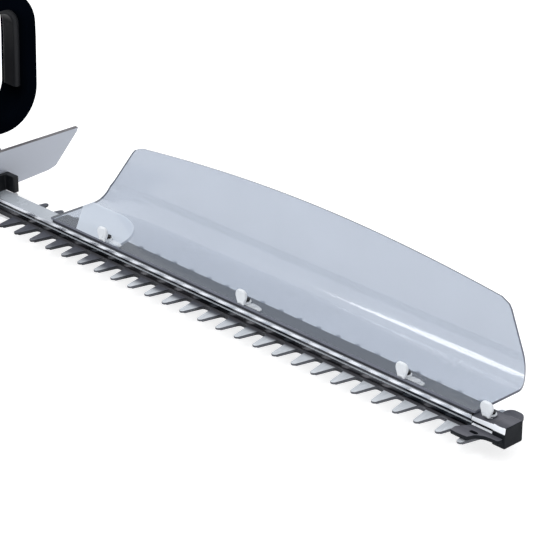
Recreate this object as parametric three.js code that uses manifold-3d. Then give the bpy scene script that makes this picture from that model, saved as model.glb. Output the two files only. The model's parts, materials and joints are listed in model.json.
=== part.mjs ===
// Cordless hedge trimmer with a clip-on cuttings collector.
// Millimetres, +X towards the blade tip, +Y to the user's left, +Z up.
// The origin is on the blade drive axis, on the plane that the tool stands on.
import * as THREE from "three";
import { mergeVertices } from "three/addons/utils/BufferGeometryUtils.js";
import Module from "manifold-3d";

const wasm = await Module();
wasm.setup();

// ---------------------------------------------------------------- driving dimensions
const GAP = 0.3; // clearance kept between neighbouring pieces

// cutting blades
const TOOTH_PITCH = 21.5;
const TOOTH_COUNT = 26;
const FIRST_TOOTH_X = 120;
const FAR_SIDE_SHIFT = -8.6; // the teeth of the far edge are staggered
const TIP_HALF_SPAN = 30.5;
const LOWER_TEETH_SHORTER = 4;
const GULLET_HALF_SPAN = 9.5;
const TOOTH_TIP_WIDTH = 5.6;
const TOOTH_ROOT_WIDTH = 12.4;
const UPPER_BLADE_Z = 15.8;
const UPPER_BLADE_THICKNESS = 1.8;
const LOWER_BLADE_THICKNESS = 1.6;
const CUTTER_INSET = 1.6; // the lower teeth are this much narrower on each side
const BLADE_HALF_STROKE = 5.4;
const BLADE_END_X = FIRST_TOOTH_X + (TOOTH_COUNT - 1) * TOOTH_PITCH + 8;

// aluminium rail over the blades
const RAIL_START_X = 72.6;
const RAIL_END_X = 650;
const RAIL_HALF_WIDTH = 8;
const RAIL_TOP_Z = 28.1;
const RAIL_BOTTOM_Z = UPPER_BLADE_Z + UPPER_BLADE_THICKNESS + GAP;
const BOLT_XS = [104, 276, 368, 484, 612];
const BOLT_SHANK_RADIUS = 2.6;
const TONGUE_THICKNESS = 3; // of the base plate, under the rearmost blade bolt

// drive
const ECCENTRICITY = BLADE_HALF_STROKE;
const ECCENTRIC_RADIUS = 11.6;
const GEAR_TEETH = 32;
const PINION_TEETH = 8;
const GEAR_MODULE = 1.5;
const GEAR_CENTRES = ((GEAR_TEETH + PINION_TEETH) * GEAR_MODULE) / 2;
const MOTOR_X = -GEAR_CENTRES;
const MOTOR_RADIUS = 19;
const MOTOR_BOTTOM_Z = 46;
const MOTOR_TOP_Z = 100;
const GEARBOX_HALF_WIDTH = 31;
const GEARBOX_BACK_X = -44;
const GEARBOX_FRONT_X = 72;
const GEARBOX_TOP_Z = 44;

// collector
const COLLECTOR_START_X = 164.5;
const COLLECTOR_END_X = 653.4;
const SHEET_THICKNESS = 2;
const BAR_NEAR_Y = -8;
const BAR_FAR_Y = 9.5;
const BAR_HEIGHT = 2;
const FLANGE_Z = RAIL_TOP_Z + GAP + BAR_HEIGHT + GAP; // underside of the flat flange
const BEND_START_Y = 39.7;
const BEND_RADIUS = 23; // to the inside (upper) face of the sheet
const WALL_LEAN = THREE.MathUtils.degToRad(15);
const WALL_HEIGHT_AT_ENDS = 34.5; // slant height above the bend
const WALL_HEIGHT_AT_MIDDLE = 45.5;
const BACK_TAPER = 0.57; // how far the rear end is cut back per unit of height
const BACK_TAPER_START = 10; // above the flange
const FRONT_TAPER = 0.7;
const FRONT_ROUNDING = 4.5; // extra cut where the front end leaves the flange
const CLIP_XS = [234.4, 405.2, 580.4];
const STUD_Y = -3;
const STUD_RADIUS = 1.5;
const KNOB_X = 662.5; // the knob that fastens the tip guard
const KNOB_Y = -0.5;

// hand guard and front handle
const GUARD_X = 74.5;
const GUARD_THICKNESS = 2.5;
const HANDLE_BACK_X = -4;
const HANDLE_FRONT_X = 34;
const HANDLE_THICKNESS = 16;
const HANDLE_TOP_Z = 188.5;
const HANDLE_SCREW = [14, 65]; // x and z of the screws through the feet of the bow
const SWITCH_BAR_TRAVEL = 4;

// housing
const BODY_HALF_WIDTH = 36;
const BODY_TOP_Z = 121;
const GRIP_HALF_WIDTH = 19;
const DOCK_HALF_WIDTH = 38;
const WALL = 3;
const DOCK_X = -318;
const PACK_BACK_X = -394;
const PACK_TOP_Z = 108;

const SMALL_RADIUS = 5; // rounded corners below this get coarser steps

// ---------------------------------------------------------------- materials
const finish = (color, roughness, metalness) => ({ color, roughness, metalness });
const BLACK_PLASTIC = finish(0x16181c, 0.5, 0);
const SHELL_PLASTIC = finish(0x24272b, 0.55, 0);
const ACCENT_PLASTIC = finish(0xb3201c, 0.45, 0);
const WHITE_PLASTIC = finish(0xf0f2f4, 0.35, 0);
const CLEAR_SHEET = finish(0xbfc9d6, 0.1, 0);
const GREY_SHEET = finish(0xaeb4c0, 0.3, 0);
const ALUMINIUM = finish(0xc9ccd1, 0.35, 1);
const DARK_ALUMINIUM = finish(0x6a6d74, 0.4, 1);
const BLADE_STEEL = finish(0xa9adb5, 0.3, 1);
const DARK_STEEL = finish(0x4a4d52, 0.4, 1);
const BRASS = finish(0xb58b3c, 0.35, 1);
const BOARD_GREEN = finish(0x1f5a3a, 0.6, 0);

const trimmer = new THREE.Group();

function add(name, solid, look) {
  const mesh = new THREE.Mesh(toGeometry(solid), new THREE.MeshStandardMaterial(look));
  mesh.name = name;
  trimmer.add(mesh);
}

// ---------------------------------------------------------------- solids
function toSolid(geometry) {
  const bare = geometry.index ? geometry.toNonIndexed() : geometry.clone();
  bare.deleteAttribute("normal");
  bare.deleteAttribute("uv");
  const merged = mergeVertices(bare, 1e-4);
  return new wasm.Manifold(
    new wasm.Mesh({
      numProp: 3,
      vertProperties: new Float32Array(merged.attributes.position.array),
      triVerts: new Uint32Array(merged.index.array),
    })
  );
}

function toGeometry(solid) {
  const mesh = solid.getMesh();
  const geometry = new THREE.BufferGeometry();
  geometry.setAttribute("position", new THREE.BufferAttribute(new Float32Array(mesh.vertProperties), 3));
  geometry.setIndex(new THREE.BufferAttribute(new Uint32Array(mesh.triVerts), 1));
  geometry.computeVertexNormals();
  return geometry;
}

function box(x0, x1, y0, y1, z0, z1) {
  const geometry = new THREE.BoxGeometry(x1 - x0, y1 - y0, z1 - z0);
  geometry.translate((x0 + x1) / 2, (y0 + y1) / 2, (z0 + z1) / 2);
  return toSolid(geometry);
}

// A cylinder from low to high along the axis "x", "y" or "z", centred on (a, b) in the other two.
function rod(axis, a, b, low, high, radius, sides = 20) {
  const geometry = new THREE.CylinderGeometry(radius, radius, high - low, sides);
  const middle = (low + high) / 2;
  if (axis === "x") {
    geometry.rotateZ(-Math.PI / 2).translate(middle, a, b);
  } else if (axis === "y") {
    geometry.translate(a, middle, b);
  } else {
    geometry.rotateX(Math.PI / 2).translate(a, b, middle);
  }
  return toSolid(geometry);
}

// Extrudes a shape drawn in XY from z0 to z1, with rounded edges when a bevel is given.
function extrudeAlongZ(shape, z0, z1, bevel, segments) {
  const geometry = new THREE.ExtrudeGeometry(shape, {
    depth: z1 - z0 - 2 * bevel,
    bevelEnabled: bevel > 0,
    bevelSize: bevel,
    bevelThickness: bevel,
    bevelOffset: -bevel,
    bevelSegments: segments,
  });
  geometry.translate(0, 0, z0 + bevel);
  return geometry;
}

// A plate lying flat: the outline is drawn in (x, y).
function plateZ(shape, z0, z1, bevel = 0, segments = 1) {
  return toSolid(extrudeAlongZ(shape, z0, z1, bevel, segments));
}

// A section drawn in (y, z) and run along X.
function runX(shape, x0, x1, bevel = 0, segments = 2) {
  const geometry = extrudeAlongZ(shape, x0, x1, bevel, segments);
  geometry.applyMatrix4(new THREE.Matrix4().set(0, 0, 1, 0, 1, 0, 0, 0, 0, 1, 0, 0, 0, 0, 0, 1));
  return toSolid(geometry);
}

// A side profile drawn in (x, z) and run across Y.
function runY(shape, y0, y1, bevel = 0, segments = 1) {
  const geometry = extrudeAlongZ(shape, -y1, -y0, bevel, segments);
  geometry.rotateX(Math.PI / 2);
  return toSolid(geometry);
}

// A closed polygon whose corners are rounded: each point is [a, b] or [a, b, radius].
function rounded(points, defaultRadius = 0) {
  const outline = [];
  points.forEach((point, i) => {
    const corner = new THREE.Vector2(point[0], point[1]);
    const before = new THREE.Vector2(...points.at(i - 1).slice(0, 2)).sub(corner).normalize();
    const after = new THREE.Vector2(...points[(i + 1) % points.length].slice(0, 2)).sub(corner).normalize();
    const radius = point[2] ?? defaultRadius;
    const halfAngle = Math.acos(THREE.MathUtils.clamp(before.dot(after), -1, 1)) / 2;
    const turn = Math.PI - 2 * halfAngle;
    if (radius === 0 || turn < 0.02) {
      outline.push(corner);
      return;
    }
    const middle = before.clone().add(after).normalize();
    const centre = middle.multiplyScalar(radius / Math.sin(halfAngle)).add(corner);
    const reach = radius / Math.tan(halfAngle);
    const start = before.clone().multiplyScalar(reach).add(corner).sub(centre);
    const end = after.clone().multiplyScalar(reach).add(corner).sub(centre);
    const stepAngle = radius < SMALL_RADIUS ? Math.PI / 4 : Math.PI / 8;
    const steps = Math.max(1, Math.round(turn / stepAngle));
    const direction = Math.sign(start.cross(end));
    for (let step = 0; step <= steps; step++) {
      const spoke = start.clone().rotateAround(new THREE.Vector2(), (direction * turn * step) / steps);
      outline.push(spoke.add(centre));
    }
  });
  return new THREE.Shape(outline);
}

function rectangle(x0, x1, y0, y1, radius = 0) {
  return rounded([[x0, y0], [x1, y0], [x1, y1], [x0, y1]], radius);
}

function slotShape(x, y, length, width) {
  return rectangle(x - length / 2, x + length / 2, y - width / 2, y + width / 2, width / 2.2);
}

const mirrorY = (solid) => solid.mirror([0, 1, 0]);

// ---------------------------------------------------------------- blades
// One edge of a blade: rounded teeth joined by rounded gullets, as [x, distance from centre].
function toothedEdge(inset, reach, shift) {
  const edge = [];
  const tipHalf = TOOTH_TIP_WIDTH / 2 - inset;
  const rootHalf = TOOTH_ROOT_WIDTH / 2 - inset;
  const tipSteps = 3;
  for (let tooth = 0; tooth < TOOTH_COUNT; tooth++) {
    const x = FIRST_TOOTH_X + shift + tooth * TOOTH_PITCH;
    edge.push([x - rootHalf - 2, GULLET_HALF_SPAN], [x - rootHalf, GULLET_HALF_SPAN + 2.2]);
    for (let step = 0; step <= tipSteps; step++) {
      const angle = Math.PI * (1 - step / tipSteps);
      edge.push([x + tipHalf * Math.cos(angle), reach - tipHalf + tipHalf * Math.sin(angle)]);
    }
    edge.push([x + rootHalf, GULLET_HALF_SPAN + 2.2], [x + rootHalf + 2, GULLET_HALF_SPAN]);
  }
  return edge;
}

function blade(inset, reach, z0, z1) {
  const yokeHalfLength = 29;
  const yokeHalfWidth = 24;
  const neckStart = 40;
  const bladeStart = 60;
  const side = (shift) => [
    [-yokeHalfLength, yokeHalfWidth],
    [yokeHalfLength, yokeHalfWidth],
    [neckStart, GULLET_HALF_SPAN + 3],
    [bladeStart, GULLET_HALF_SPAN],
    ...toothedEdge(inset, reach, shift),
    [BLADE_END_X, GULLET_HALF_SPAN],
  ];
  const nearSide = side(0).map(([x, y]) => new THREE.Vector2(x, -y));
  const farSide = side(FAR_SIDE_SHIFT).map(([x, y]) => new THREE.Vector2(x, y)).reverse();
  const shape = new THREE.Shape([...nearSide, ...farSide]);
  const clearance = 0.6;
  const windowLength = 2 * (ECCENTRIC_RADIUS + 2 * BLADE_HALF_STROKE + clearance);
  const windowWidth = 2 * (ECCENTRIC_RADIUS + ECCENTRICITY + clearance);
  shape.holes.push(rectangle(-windowLength / 2, windowLength / 2, -windowWidth / 2, windowWidth / 2, 4));
  const slotLength = 2 * (BLADE_HALF_STROKE + BOLT_SHANK_RADIUS + clearance);
  const slotWidth = 2 * (BOLT_SHANK_RADIUS + GAP);
  for (const x of BOLT_XS) {
    shape.holes.push(slotShape(x, 0, slotLength, slotWidth));
  }
  return plateZ(shape, z0, z1);
}

const LOWER_BLADE_TOP = UPPER_BLADE_Z - GAP;
const LOWER_BLADE_Z = LOWER_BLADE_TOP - LOWER_BLADE_THICKNESS;
const UPPER_BLADE_TOP = UPPER_BLADE_Z + UPPER_BLADE_THICKNESS;
add("upper_blade", blade(0, TIP_HALF_SPAN, UPPER_BLADE_Z, UPPER_BLADE_TOP), BLADE_STEEL);
const LOWER_REACH = TIP_HALF_SPAN - LOWER_TEETH_SHORTER;
add("lower_blade", blade(CUTTER_INSET, LOWER_REACH, LOWER_BLADE_Z, LOWER_BLADE_TOP), BLADE_STEEL);

// ---------------------------------------------------------------- rail and blade bolts
function railSection() {
  const grooveDepth = 1.4;
  const grooveLow = RAIL_TOP_Z - 6.2;
  const grooveHigh = RAIL_TOP_Z - 3.3;
  const side = (sign) => [
    [sign * RAIL_HALF_WIDTH, RAIL_BOTTOM_Z],
    [sign * RAIL_HALF_WIDTH, grooveLow],
    [sign * (RAIL_HALF_WIDTH - grooveDepth), grooveLow + 0.6],
    [sign * (RAIL_HALF_WIDTH - grooveDepth), grooveHigh - 0.6],
    [sign * RAIL_HALF_WIDTH, grooveHigh],
    [sign * RAIL_HALF_WIDTH, RAIL_TOP_Z - 0.5],
    [sign * (RAIL_HALF_WIDTH - 0.5), RAIL_TOP_Z],
  ];
  return rounded([...side(1), ...side(-1).reverse()]);
}

// The rearmost bolt also clamps the tongue of the base plate, so its head is lower.
function bladeBolt(x) {
  const bladeBottom = LOWER_BLADE_Z - GAP;
  const headTop = x === BOLT_XS[0] ? bladeBottom - TONGUE_THICKNESS - GAP : bladeBottom;
  const head = rod("z", x, 0, headTop - 4, headTop, 5, 6);
  const shank = rod("z", x, 0, headTop - 1, RAIL_TOP_Z - 2.4, BOLT_SHANK_RADIUS, 10);
  return head.add(shank);
}

// The rail ends in a narrow tongue that the tip guard slips over.
const TONGUE_END_X = 668;
const TONGUE_HALF_WIDTH = 5;
const TONGUE_TOP_Z = 26;
const TONGUE_BOTTOM_Z = 20;
let rail = runX(railSection(), RAIL_START_X, RAIL_END_X);
const tongueBox = [-TONGUE_HALF_WIDTH, TONGUE_HALF_WIDTH, TONGUE_BOTTOM_Z, TONGUE_TOP_Z];
rail = rail.add(box(RAIL_END_X - 1, TONGUE_END_X, ...tongueBox));
rail = rail.subtract(rod("z", KNOB_X, KNOB_Y, 15, 40, STUD_RADIUS + GAP, 8));
for (const x of BOLT_XS) {
  rail = rail.subtract(rod("z", x, 0, RAIL_BOTTOM_Z - 1, RAIL_TOP_Z - 2, BOLT_SHANK_RADIUS + GAP, 10));
}
for (const x of CLIP_XS) {
  rail = rail.subtract(rod("z", x, STUD_Y, RAIL_TOP_Z - 5, RAIL_TOP_Z + 1, STUD_RADIUS + GAP, 8));
}
add("blade_rail", rail, ALUMINIUM);
BOLT_XS.forEach((x, i) => add(`blade_bolt_${i + 1}`, bladeBolt(x), DARK_STEEL));

// ---------------------------------------------------------------- tip guard
const TIP_START_X = 652;
const TIP_FRONT_X = 684;
const TIP_NOSE_BACK_X = 672; // the nose in front of the blade ends reaches lower
const TIP_HALF_WIDTH = 10;
const TIP_TOP_Z = 30.6; // at the front; the top falls a little towards the rail
const TIP_TOP_FALL = 1.8;
const TIP_NOSE_BOTTOM_Z = 13.4;
const FIN_TOP_Z = 22;
const KNOB_SEAT_Z = 30.2;

function tipGuard() {
  const bottom = RAIL_BOTTOM_Z;
  const near = -TIP_HALF_WIDTH;
  const cover = runX(
    rounded([
      [near, bottom],
      [TIP_HALF_WIDTH, bottom],
      [TIP_HALF_WIDTH, TIP_TOP_Z, 1.5],
      [near + 1, TIP_TOP_Z, 1],
      [near, TIP_TOP_Z - 5.2],
      [near + 1.4, TIP_TOP_Z - 5.8],
      [near + 1.4, FIN_TOP_Z + 0.8],
      [near, FIN_TOP_Z],
    ]),
    TIP_START_X,
    TIP_FRONT_X
  );
  const nose = runX(
    rounded([
      [near, TIP_NOSE_BOTTOM_Z, 1],
      [TIP_HALF_WIDTH, TIP_NOSE_BOTTOM_Z, 1],
      [TIP_HALF_WIDTH, TIP_TOP_Z, 1.5],
      [near + 1, TIP_TOP_Z, 1],
      [near - 0.6, FIN_TOP_Z],
    ]),
    TIP_NOSE_BACK_X,
    TIP_FRONT_X
  );
  const aboveTop = rounded([
    [TIP_START_X - 1, TIP_TOP_Z - TIP_TOP_FALL],
    [TIP_FRONT_X, TIP_TOP_Z],
    [TIP_FRONT_X, TIP_TOP_Z + 5],
    [TIP_START_X - 1, TIP_TOP_Z + 5],
  ]);
  const nearFin = rounded([
    [683, near + 1],
    [682.5, near - 4.4, 2],
    [677, near - 4.4, 8],
    [670, near - 6, 6],
    [664, near - 10.5, 4],
    [662, near - 16, 1],
    [646, near - 17, 2],
    [645, near - 10, 2],
    [653, near + 1],
  ]);
  const farFin = rounded([
    [655, TIP_HALF_WIDTH - 1],
    [655, 30, 5],
    [669, 30, 7],
    [TIP_NOSE_BACK_X + 4, 18, 5],
    [TIP_NOSE_BACK_X + 6, TIP_HALF_WIDTH - 1],
  ]);
  const drain = plateZ(slotShape(661, near - 7.5, 7, 3), 10, 40);
  const reach = TONGUE_HALF_WIDTH + GAP;
  const socketHeight = [TONGUE_BOTTOM_Z - GAP, TONGUE_TOP_Z + GAP];
  const socket = box(TIP_START_X - 1, TONGUE_END_X + GAP, -reach, reach, ...socketHeight);
  const studHole = rod("z", KNOB_X, KNOB_Y, 15, 40, STUD_RADIUS + GAP, 8);
  const seat = rod("z", KNOB_X, KNOB_Y, TONGUE_TOP_Z + 1, KNOB_SEAT_Z, 4.4, 16);
  let guard = cover.add(nose).subtract(runY(aboveTop, -20, 20)).add(seat);
  guard = guard.add(plateZ(nearFin, bottom, FIN_TOP_Z, 0.6)).add(plateZ(farFin, bottom, FIN_TOP_Z, 0.6));
  return guard.subtract(drain).subtract(socket).subtract(studHole);
}

add("tip_guard", tipGuard(), BLACK_PLASTIC);

// ---------------------------------------------------------------- collector
// The sheet is a bent strip: flat flange, round bend, leaning wall. The ends of its wall
// taper and its top edge is an arc.
function collectorSection() {
  const turn = Math.PI / 2 - WALL_LEAN;
  const inner = [];
  const outer = [];
  const along = (radius, angle) => [
    BEND_START_Y + radius * Math.sin(angle),
    FLANGE_Z + SHEET_THICKNESS + BEND_RADIUS - radius * Math.cos(angle),
  ];
  const steps = 8;
  for (let i = 0; i <= steps; i++) {
    inner.push(along(BEND_RADIUS, (turn * i) / steps));
    outer.push(along(BEND_RADIUS + SHEET_THICKNESS, (turn * i) / steps));
  }
  const rise = (point) => [
    point[0] + WALL_HEIGHT_AT_MIDDLE * Math.sin(WALL_LEAN),
    point[1] + WALL_HEIGHT_AT_MIDDLE * Math.cos(WALL_LEAN),
  ];
  const top = [rise(inner[steps]), rise(outer[steps])];
  const edge = [
    [BAR_NEAR_Y, FLANGE_Z + SHEET_THICKNESS],
    ...inner,
    top[0],
    top[1],
    ...outer.reverse(),
    [BAR_NEAR_Y, FLANGE_Z],
  ];
  return new THREE.Shape(edge.map(([y, z]) => new THREE.Vector2(y, z)));
}

// The outline of the sheet seen from the side, drawn in (x, z), which trims the bent strip.
function collectorOutline() {
  const faceZ = FLANGE_Z + SHEET_THICKNESS;
  const bendHeight = BEND_RADIUS * (1 - Math.sin(WALL_LEAN));
  const endHeight = bendHeight + WALL_HEIGHT_AT_ENDS * Math.cos(WALL_LEAN);
  const middleHeight = bendHeight + WALL_HEIGHT_AT_MIDDLE * Math.cos(WALL_LEAN);
  const backX = (height) => COLLECTOR_START_X + BACK_TAPER * Math.max(0, height - BACK_TAPER_START);
  const frontX = (height) =>
    COLLECTOR_END_X - FRONT_TAPER * height - FRONT_ROUNDING * (1 - Math.exp(-height / 4));
  const cornerHeight = endHeight - 4;
  const cornerLength = 9;
  const shape = new THREE.Shape();
  shape.moveTo(COLLECTOR_START_X, FLANGE_Z - 1);
  shape.lineTo(COLLECTOR_END_X, FLANGE_Z - 1);
  for (const height of [0, 1.5, 3, 5, 8, 12, 20, cornerHeight]) {
    shape.lineTo(frontX(height), faceZ + height);
  }
  const right = frontX(endHeight) - cornerLength;
  const left = backX(endHeight) + cornerLength;
  shape.quadraticCurveTo(frontX(endHeight), faceZ + endHeight, right, faceZ + endHeight + 0.6);
  const arcSteps = 10;
  for (let i = 1; i < arcSteps; i++) {
    const t = i / arcSteps;
    const height = endHeight + 0.6 + (middleHeight - endHeight - 0.6) * 4 * t * (1 - t);
    shape.lineTo(right + (left - right) * t, faceZ + height);
  }
  shape.lineTo(left, faceZ + endHeight + 0.6);
  shape.quadraticCurveTo(backX(endHeight), faceZ + endHeight, backX(cornerHeight), faceZ + cornerHeight);
  shape.lineTo(COLLECTOR_START_X, faceZ + BACK_TAPER_START);
  shape.closePath();
  return shape;
}

function collectorSheet() {
  let sheet = runX(collectorSection(), COLLECTOR_START_X - 1, COLLECTOR_END_X + 1);
  sheet = sheet.intersect(runY(collectorOutline(), -40, 160));
  const top = FLANGE_Z + SHEET_THICKNESS;
  for (const x of CLIP_XS) {
    sheet = sheet.subtract(rod("z", x, STUD_Y, FLANGE_Z - 1, top + 1, STUD_RADIUS + GAP, 8));
  }
  return sheet;
}

function mountBar() {
  const z0 = RAIL_TOP_Z + GAP;
  const z1 = z0 + BAR_HEIGHT;
  let bar = plateZ(rectangle(COLLECTOR_START_X + 1, TIP_START_X - 1, BAR_NEAR_Y, BAR_FAR_Y, 1.5), z0, z1);
  for (const x of CLIP_XS) {
    bar = bar.subtract(rod("z", x, STUD_Y, z0 - 1, z1 + 1, STUD_RADIUS + GAP, 8));
  }
  return bar;
}

const COLLAR_HEIGHT = 1.2;
const COLLAR_RADIUS = 4.2;

// A stud driven down through a knob that stands at height seat; its head lies on the knob's collar.
function knobStud(x, y, seat, depth) {
  const headBottom = seat + COLLAR_HEIGHT + GAP;
  const head = rod("z", x, y, headBottom, headBottom + 1.6, 3.2, 12);
  return head.add(rod("z", x, y, seat - depth, headBottom + 0.1, STUD_RADIUS, 8));
}

// A turn knob: a collar round its stud and an upright thumb tab in front of it.
function knob(x, y, seat) {
  const tabNear = y - 7;
  const tabFar = y - 3.6;
  const tabTop = seat + 12.6;
  const tab = rounded([
    [x - 3, seat],
    [x + 3, seat],
    [x + 3.6, seat + 3, 3],
    [x + 5.7, seat + 7, 4],
    [x + 5, tabTop, 3.6],
    [x - 5, tabTop, 3.6],
    [x - 5.7, seat + 7, 4],
    [x - 3.6, seat + 3, 3],
  ]);
  const collar = rod("z", x, y, seat, seat + COLLAR_HEIGHT, COLLAR_RADIUS, 16);
  const body = collar.add(runY(tab, tabNear, tabFar, 0.7));
  return body.subtract(rod("z", x, y, seat - 1, seat + 4, STUD_RADIUS + GAP, 8));
}

// A collector clip is a knob with a crescent foot that presses on the flange.
function collectorClip(x) {
  const seat = FLANGE_Z + SHEET_THICKNESS + GAP;
  const foot = rounded([
    [x, STUD_Y - 4.8],
    [x + 20, STUD_Y - 4.8, 1],
    [x + 21, STUD_Y - 1.6, 2],
    [x + 13, STUD_Y + 0.6, 8],
    [x + 6, STUD_Y + 1.2, 6],
    [x + 2, STUD_Y - 2.4],
  ]);
  const bore = rod("z", x, STUD_Y, seat - 1, seat + 4, STUD_RADIUS + GAP, 8);
  return knob(x, STUD_Y, seat).add(plateZ(foot, seat, seat + 1.2)).subtract(bore);
}

add("collector_sheet", collectorSheet(), CLEAR_SHEET);
add("collector_mount_bar", mountBar(), DARK_ALUMINIUM);
CLIP_XS.forEach((x, i) => {
  add(`collector_clip_${i + 1}`, collectorClip(x), WHITE_PLASTIC);
  const seat = FLANGE_Z + SHEET_THICKNESS + GAP;
  add(`clip_stud_${i + 1}`, knobStud(x, STUD_Y, seat, seat - RAIL_TOP_Z + 4.6), BLACK_PLASTIC);
});
const KNOB_BOTTOM_Z = KNOB_SEAT_Z + GAP;
add("tip_guard_knob", knob(KNOB_X, KNOB_Y, KNOB_BOTTOM_Z), WHITE_PLASTIC);
add("tip_knob_stud", knobStud(KNOB_X, KNOB_Y, KNOB_BOTTOM_Z, KNOB_BOTTOM_Z - TONGUE_BOTTOM_Z), BLACK_PLASTIC);

// ---------------------------------------------------------------- hand guard
const GUARD_SCREW_Y = 10.5;
const BRACKET_HALF_WIDTH = 13.5;
const BRACKET_INSIDE = 7.6; // half of the space between its legs
const BRACKET_TOP_Z = 43.5;

function handGuard() {
  const half = [
    [12, RAIL_TOP_Z + 0.7, 1],
    [32, 29.3, 6],
    [60, 31.2, 4],
    [68.5, 33.3, 5],
    [94.5, 59.6, 2],
    [96.5, 63.5, 1],
  ];
  const mirrored = half.map(([y, z, r]) => [-y, z, r]).reverse();
  const shape = rounded([...half, ...mirrored]);
  let guard = runX(shape, GUARD_X, GUARD_X + GUARD_THICKNESS);
  guard = guard.add(box(GUARD_X - 1.5, GUARD_X + 0.5, -96, 96, 61.5, 63.5));
  for (const y of [-GUARD_SCREW_Y, GUARD_SCREW_Y]) {
    guard = guard.subtract(rod("x", y, 37, GUARD_X - 1, GUARD_X + 4, 1.8 + GAP, 12));
  }
  return guard;
}

// A saddle over the rail: a plate behind and a leg on each side.
function guardBracket() {
  const back = GUARD_X + GUARD_THICKNESS + GAP;
  const low = RAIL_TOP_Z + GAP;
  const outline = rectangle(back, 93, -BRACKET_HALF_WIDTH, BRACKET_HALF_WIDTH, 1);
  let bracket = plateZ(outline, low, BRACKET_TOP_Z, 0.6);
  bracket = bracket.subtract(box(back + 4, 94, -BRACKET_INSIDE, BRACKET_INSIDE, low - 1, BRACKET_TOP_Z + 1));
  for (const y of [-GUARD_SCREW_Y, GUARD_SCREW_Y]) {
    bracket = bracket.subtract(rod("x", y, 37, back - 1, 88, 1.8 + GAP, 12));
  }
  return bracket;
}

// The screws come from behind, through the guard and into the bracket.
function guardScrew(y) {
  const head = rod("x", y, 37, GUARD_X - GAP - 1.6, GUARD_X - GAP, 3.2, 12);
  return head.add(rod("x", y, 37, GUARD_X - 1, 86, 1.8, 8));
}

add("hand_guard", handGuard(), GREY_SHEET);
add("guard_bracket", guardBracket(), BLACK_PLASTIC);
add("guard_screw_right", guardScrew(-GUARD_SCREW_Y), DARK_STEEL);
add("guard_screw_left", guardScrew(GUARD_SCREW_Y), DARK_STEEL);

// ---------------------------------------------------------------- front handle and its switch bar
const FOOT_BOTTOM_Z = 57;
const SWITCH_BAR_BOTTOM_Z = 96;
const CHANNEL_BACK_X = 7;
const CHANNEL_FRONT_X = 27;
const CHANNEL_DEPTH = 9;
const SWITCH_BAR_PROUD = 5; // how far the bar stands out of its channel
const SWITCH_BAR_SUNK = 3;

// The region inside the bow's outer line, drawn in (y, z) and shrunk by an inset.
function bowRegion(inset) {
  const half = [
    [85.5 - inset, FOOT_BOTTOM_Z + inset, 40 - inset],
    [88 - inset, 140, 14],
    [88 - inset, HANDLE_TOP_Z - inset, 34 - inset],
  ];
  const mirrored = half.map(([y, z, r]) => [-y, z, r]).reverse();
  return rounded([...half, ...mirrored]);
}

function bowBand(outerInset, innerInset, x0, x1) {
  return runX(bowRegion(outerInset), x0, x1).subtract(runX(bowRegion(innerInset), x0 - 1, x1 + 1));
}

function frontHandle() {
  const body = BODY_HALF_WIDTH + GAP;
  let handle = runX(bowRegion(0), HANDLE_BACK_X, HANDLE_FRONT_X, 4);
  handle = handle.subtract(runX(bowRegion(HANDLE_THICKNESS), HANDLE_BACK_X - 1, HANDLE_FRONT_X + 1));
  handle = handle.subtract(box(HANDLE_BACK_X - 1, HANDLE_FRONT_X + 1, -body, body, 40, BODY_TOP_Z));
  const aboveEnds = box(HANDLE_BACK_X, HANDLE_FRONT_X, -100, 100, SWITCH_BAR_BOTTOM_Z - 1, 220);
  const outer = HANDLE_THICKNESS - CHANNEL_DEPTH;
  const channel = bowBand(outer, HANDLE_THICKNESS + 1, CHANNEL_BACK_X, CHANNEL_FRONT_X);
  handle = handle.subtract(channel.intersect(aboveEnds));
  for (const side of [-1, 1]) {
    const start = side > 0 ? body - 1 : -body - 12;
    handle = handle.subtract(rod("y", ...HANDLE_SCREW, start, start + 13, 2 + GAP, 12));
  }
  return handle;
}

function switchBar() {
  const slack = 0.5;
  const outer = HANDLE_THICKNESS - SWITCH_BAR_SUNK;
  const inner = HANDLE_THICKNESS + SWITCH_BAR_PROUD;
  const band = bowBand(outer, inner, CHANNEL_BACK_X + slack, CHANNEL_FRONT_X - slack);
  return band.intersect(box(HANDLE_BACK_X, HANDLE_FRONT_X, -100, 100, SWITCH_BAR_BOTTOM_Z, 220));
}

add("front_handle", frontHandle(), BLACK_PLASTIC);
add("front_switch_bar", switchBar(), SHELL_PLASTIC);

// ---------------------------------------------------------------- gearbox
const CAVITY_HALF_WIDTH = 26;
const BASE_BOLTS = [
  [-34, -28.5],
  [-34, 28.5],
  [62, -28.5],
  [62, 28.5],
];

function basePlate() {
  const top = LOWER_BLADE_Z - GAP;
  const shankRadius = BOLT_SHANK_RADIUS + GAP;
  const wallInside = GEARBOX_HALF_WIDTH - 5;
  const front = GEARBOX_FRONT_X;
  let plate = plateZ(rectangle(GEARBOX_BACK_X, front, -GEARBOX_HALF_WIDTH, GEARBOX_HALF_WIDTH, 6), 0, top);
  const tongueEnd = BOLT_XS[0] + 16;
  const tongue = rectangle(front - 4, tongueEnd, -RAIL_HALF_WIDTH, RAIL_HALF_WIDTH, 2);
  plate = plate.add(plateZ(tongue, top - TONGUE_THICKNESS, top));
  const sideWall = box(GEARBOX_BACK_X + 6, front - 6, wallInside, GEARBOX_HALF_WIDTH, top - 1, RAIL_BOTTOM_Z);
  plate = plate.add(sideWall).add(mirrorY(sideWall));
  const pocket = plateZ(rectangle(-20, 20, -20, 20, 6), 5, top + 1);
  plate = plate.subtract(pocket);
  plate = plate.subtract(rod("z", BOLT_XS[0], 0, top - 5, top + 1, shankRadius, 10));
  for (const [x, y] of BASE_BOLTS) {
    plate = plate.subtract(rod("z", x, y, -1, 30, 2 + GAP, 10));
    plate = plate.subtract(rod("z", x, y, -1, 3, 4 + GAP, 12));
  }
  return plate;
}

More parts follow.
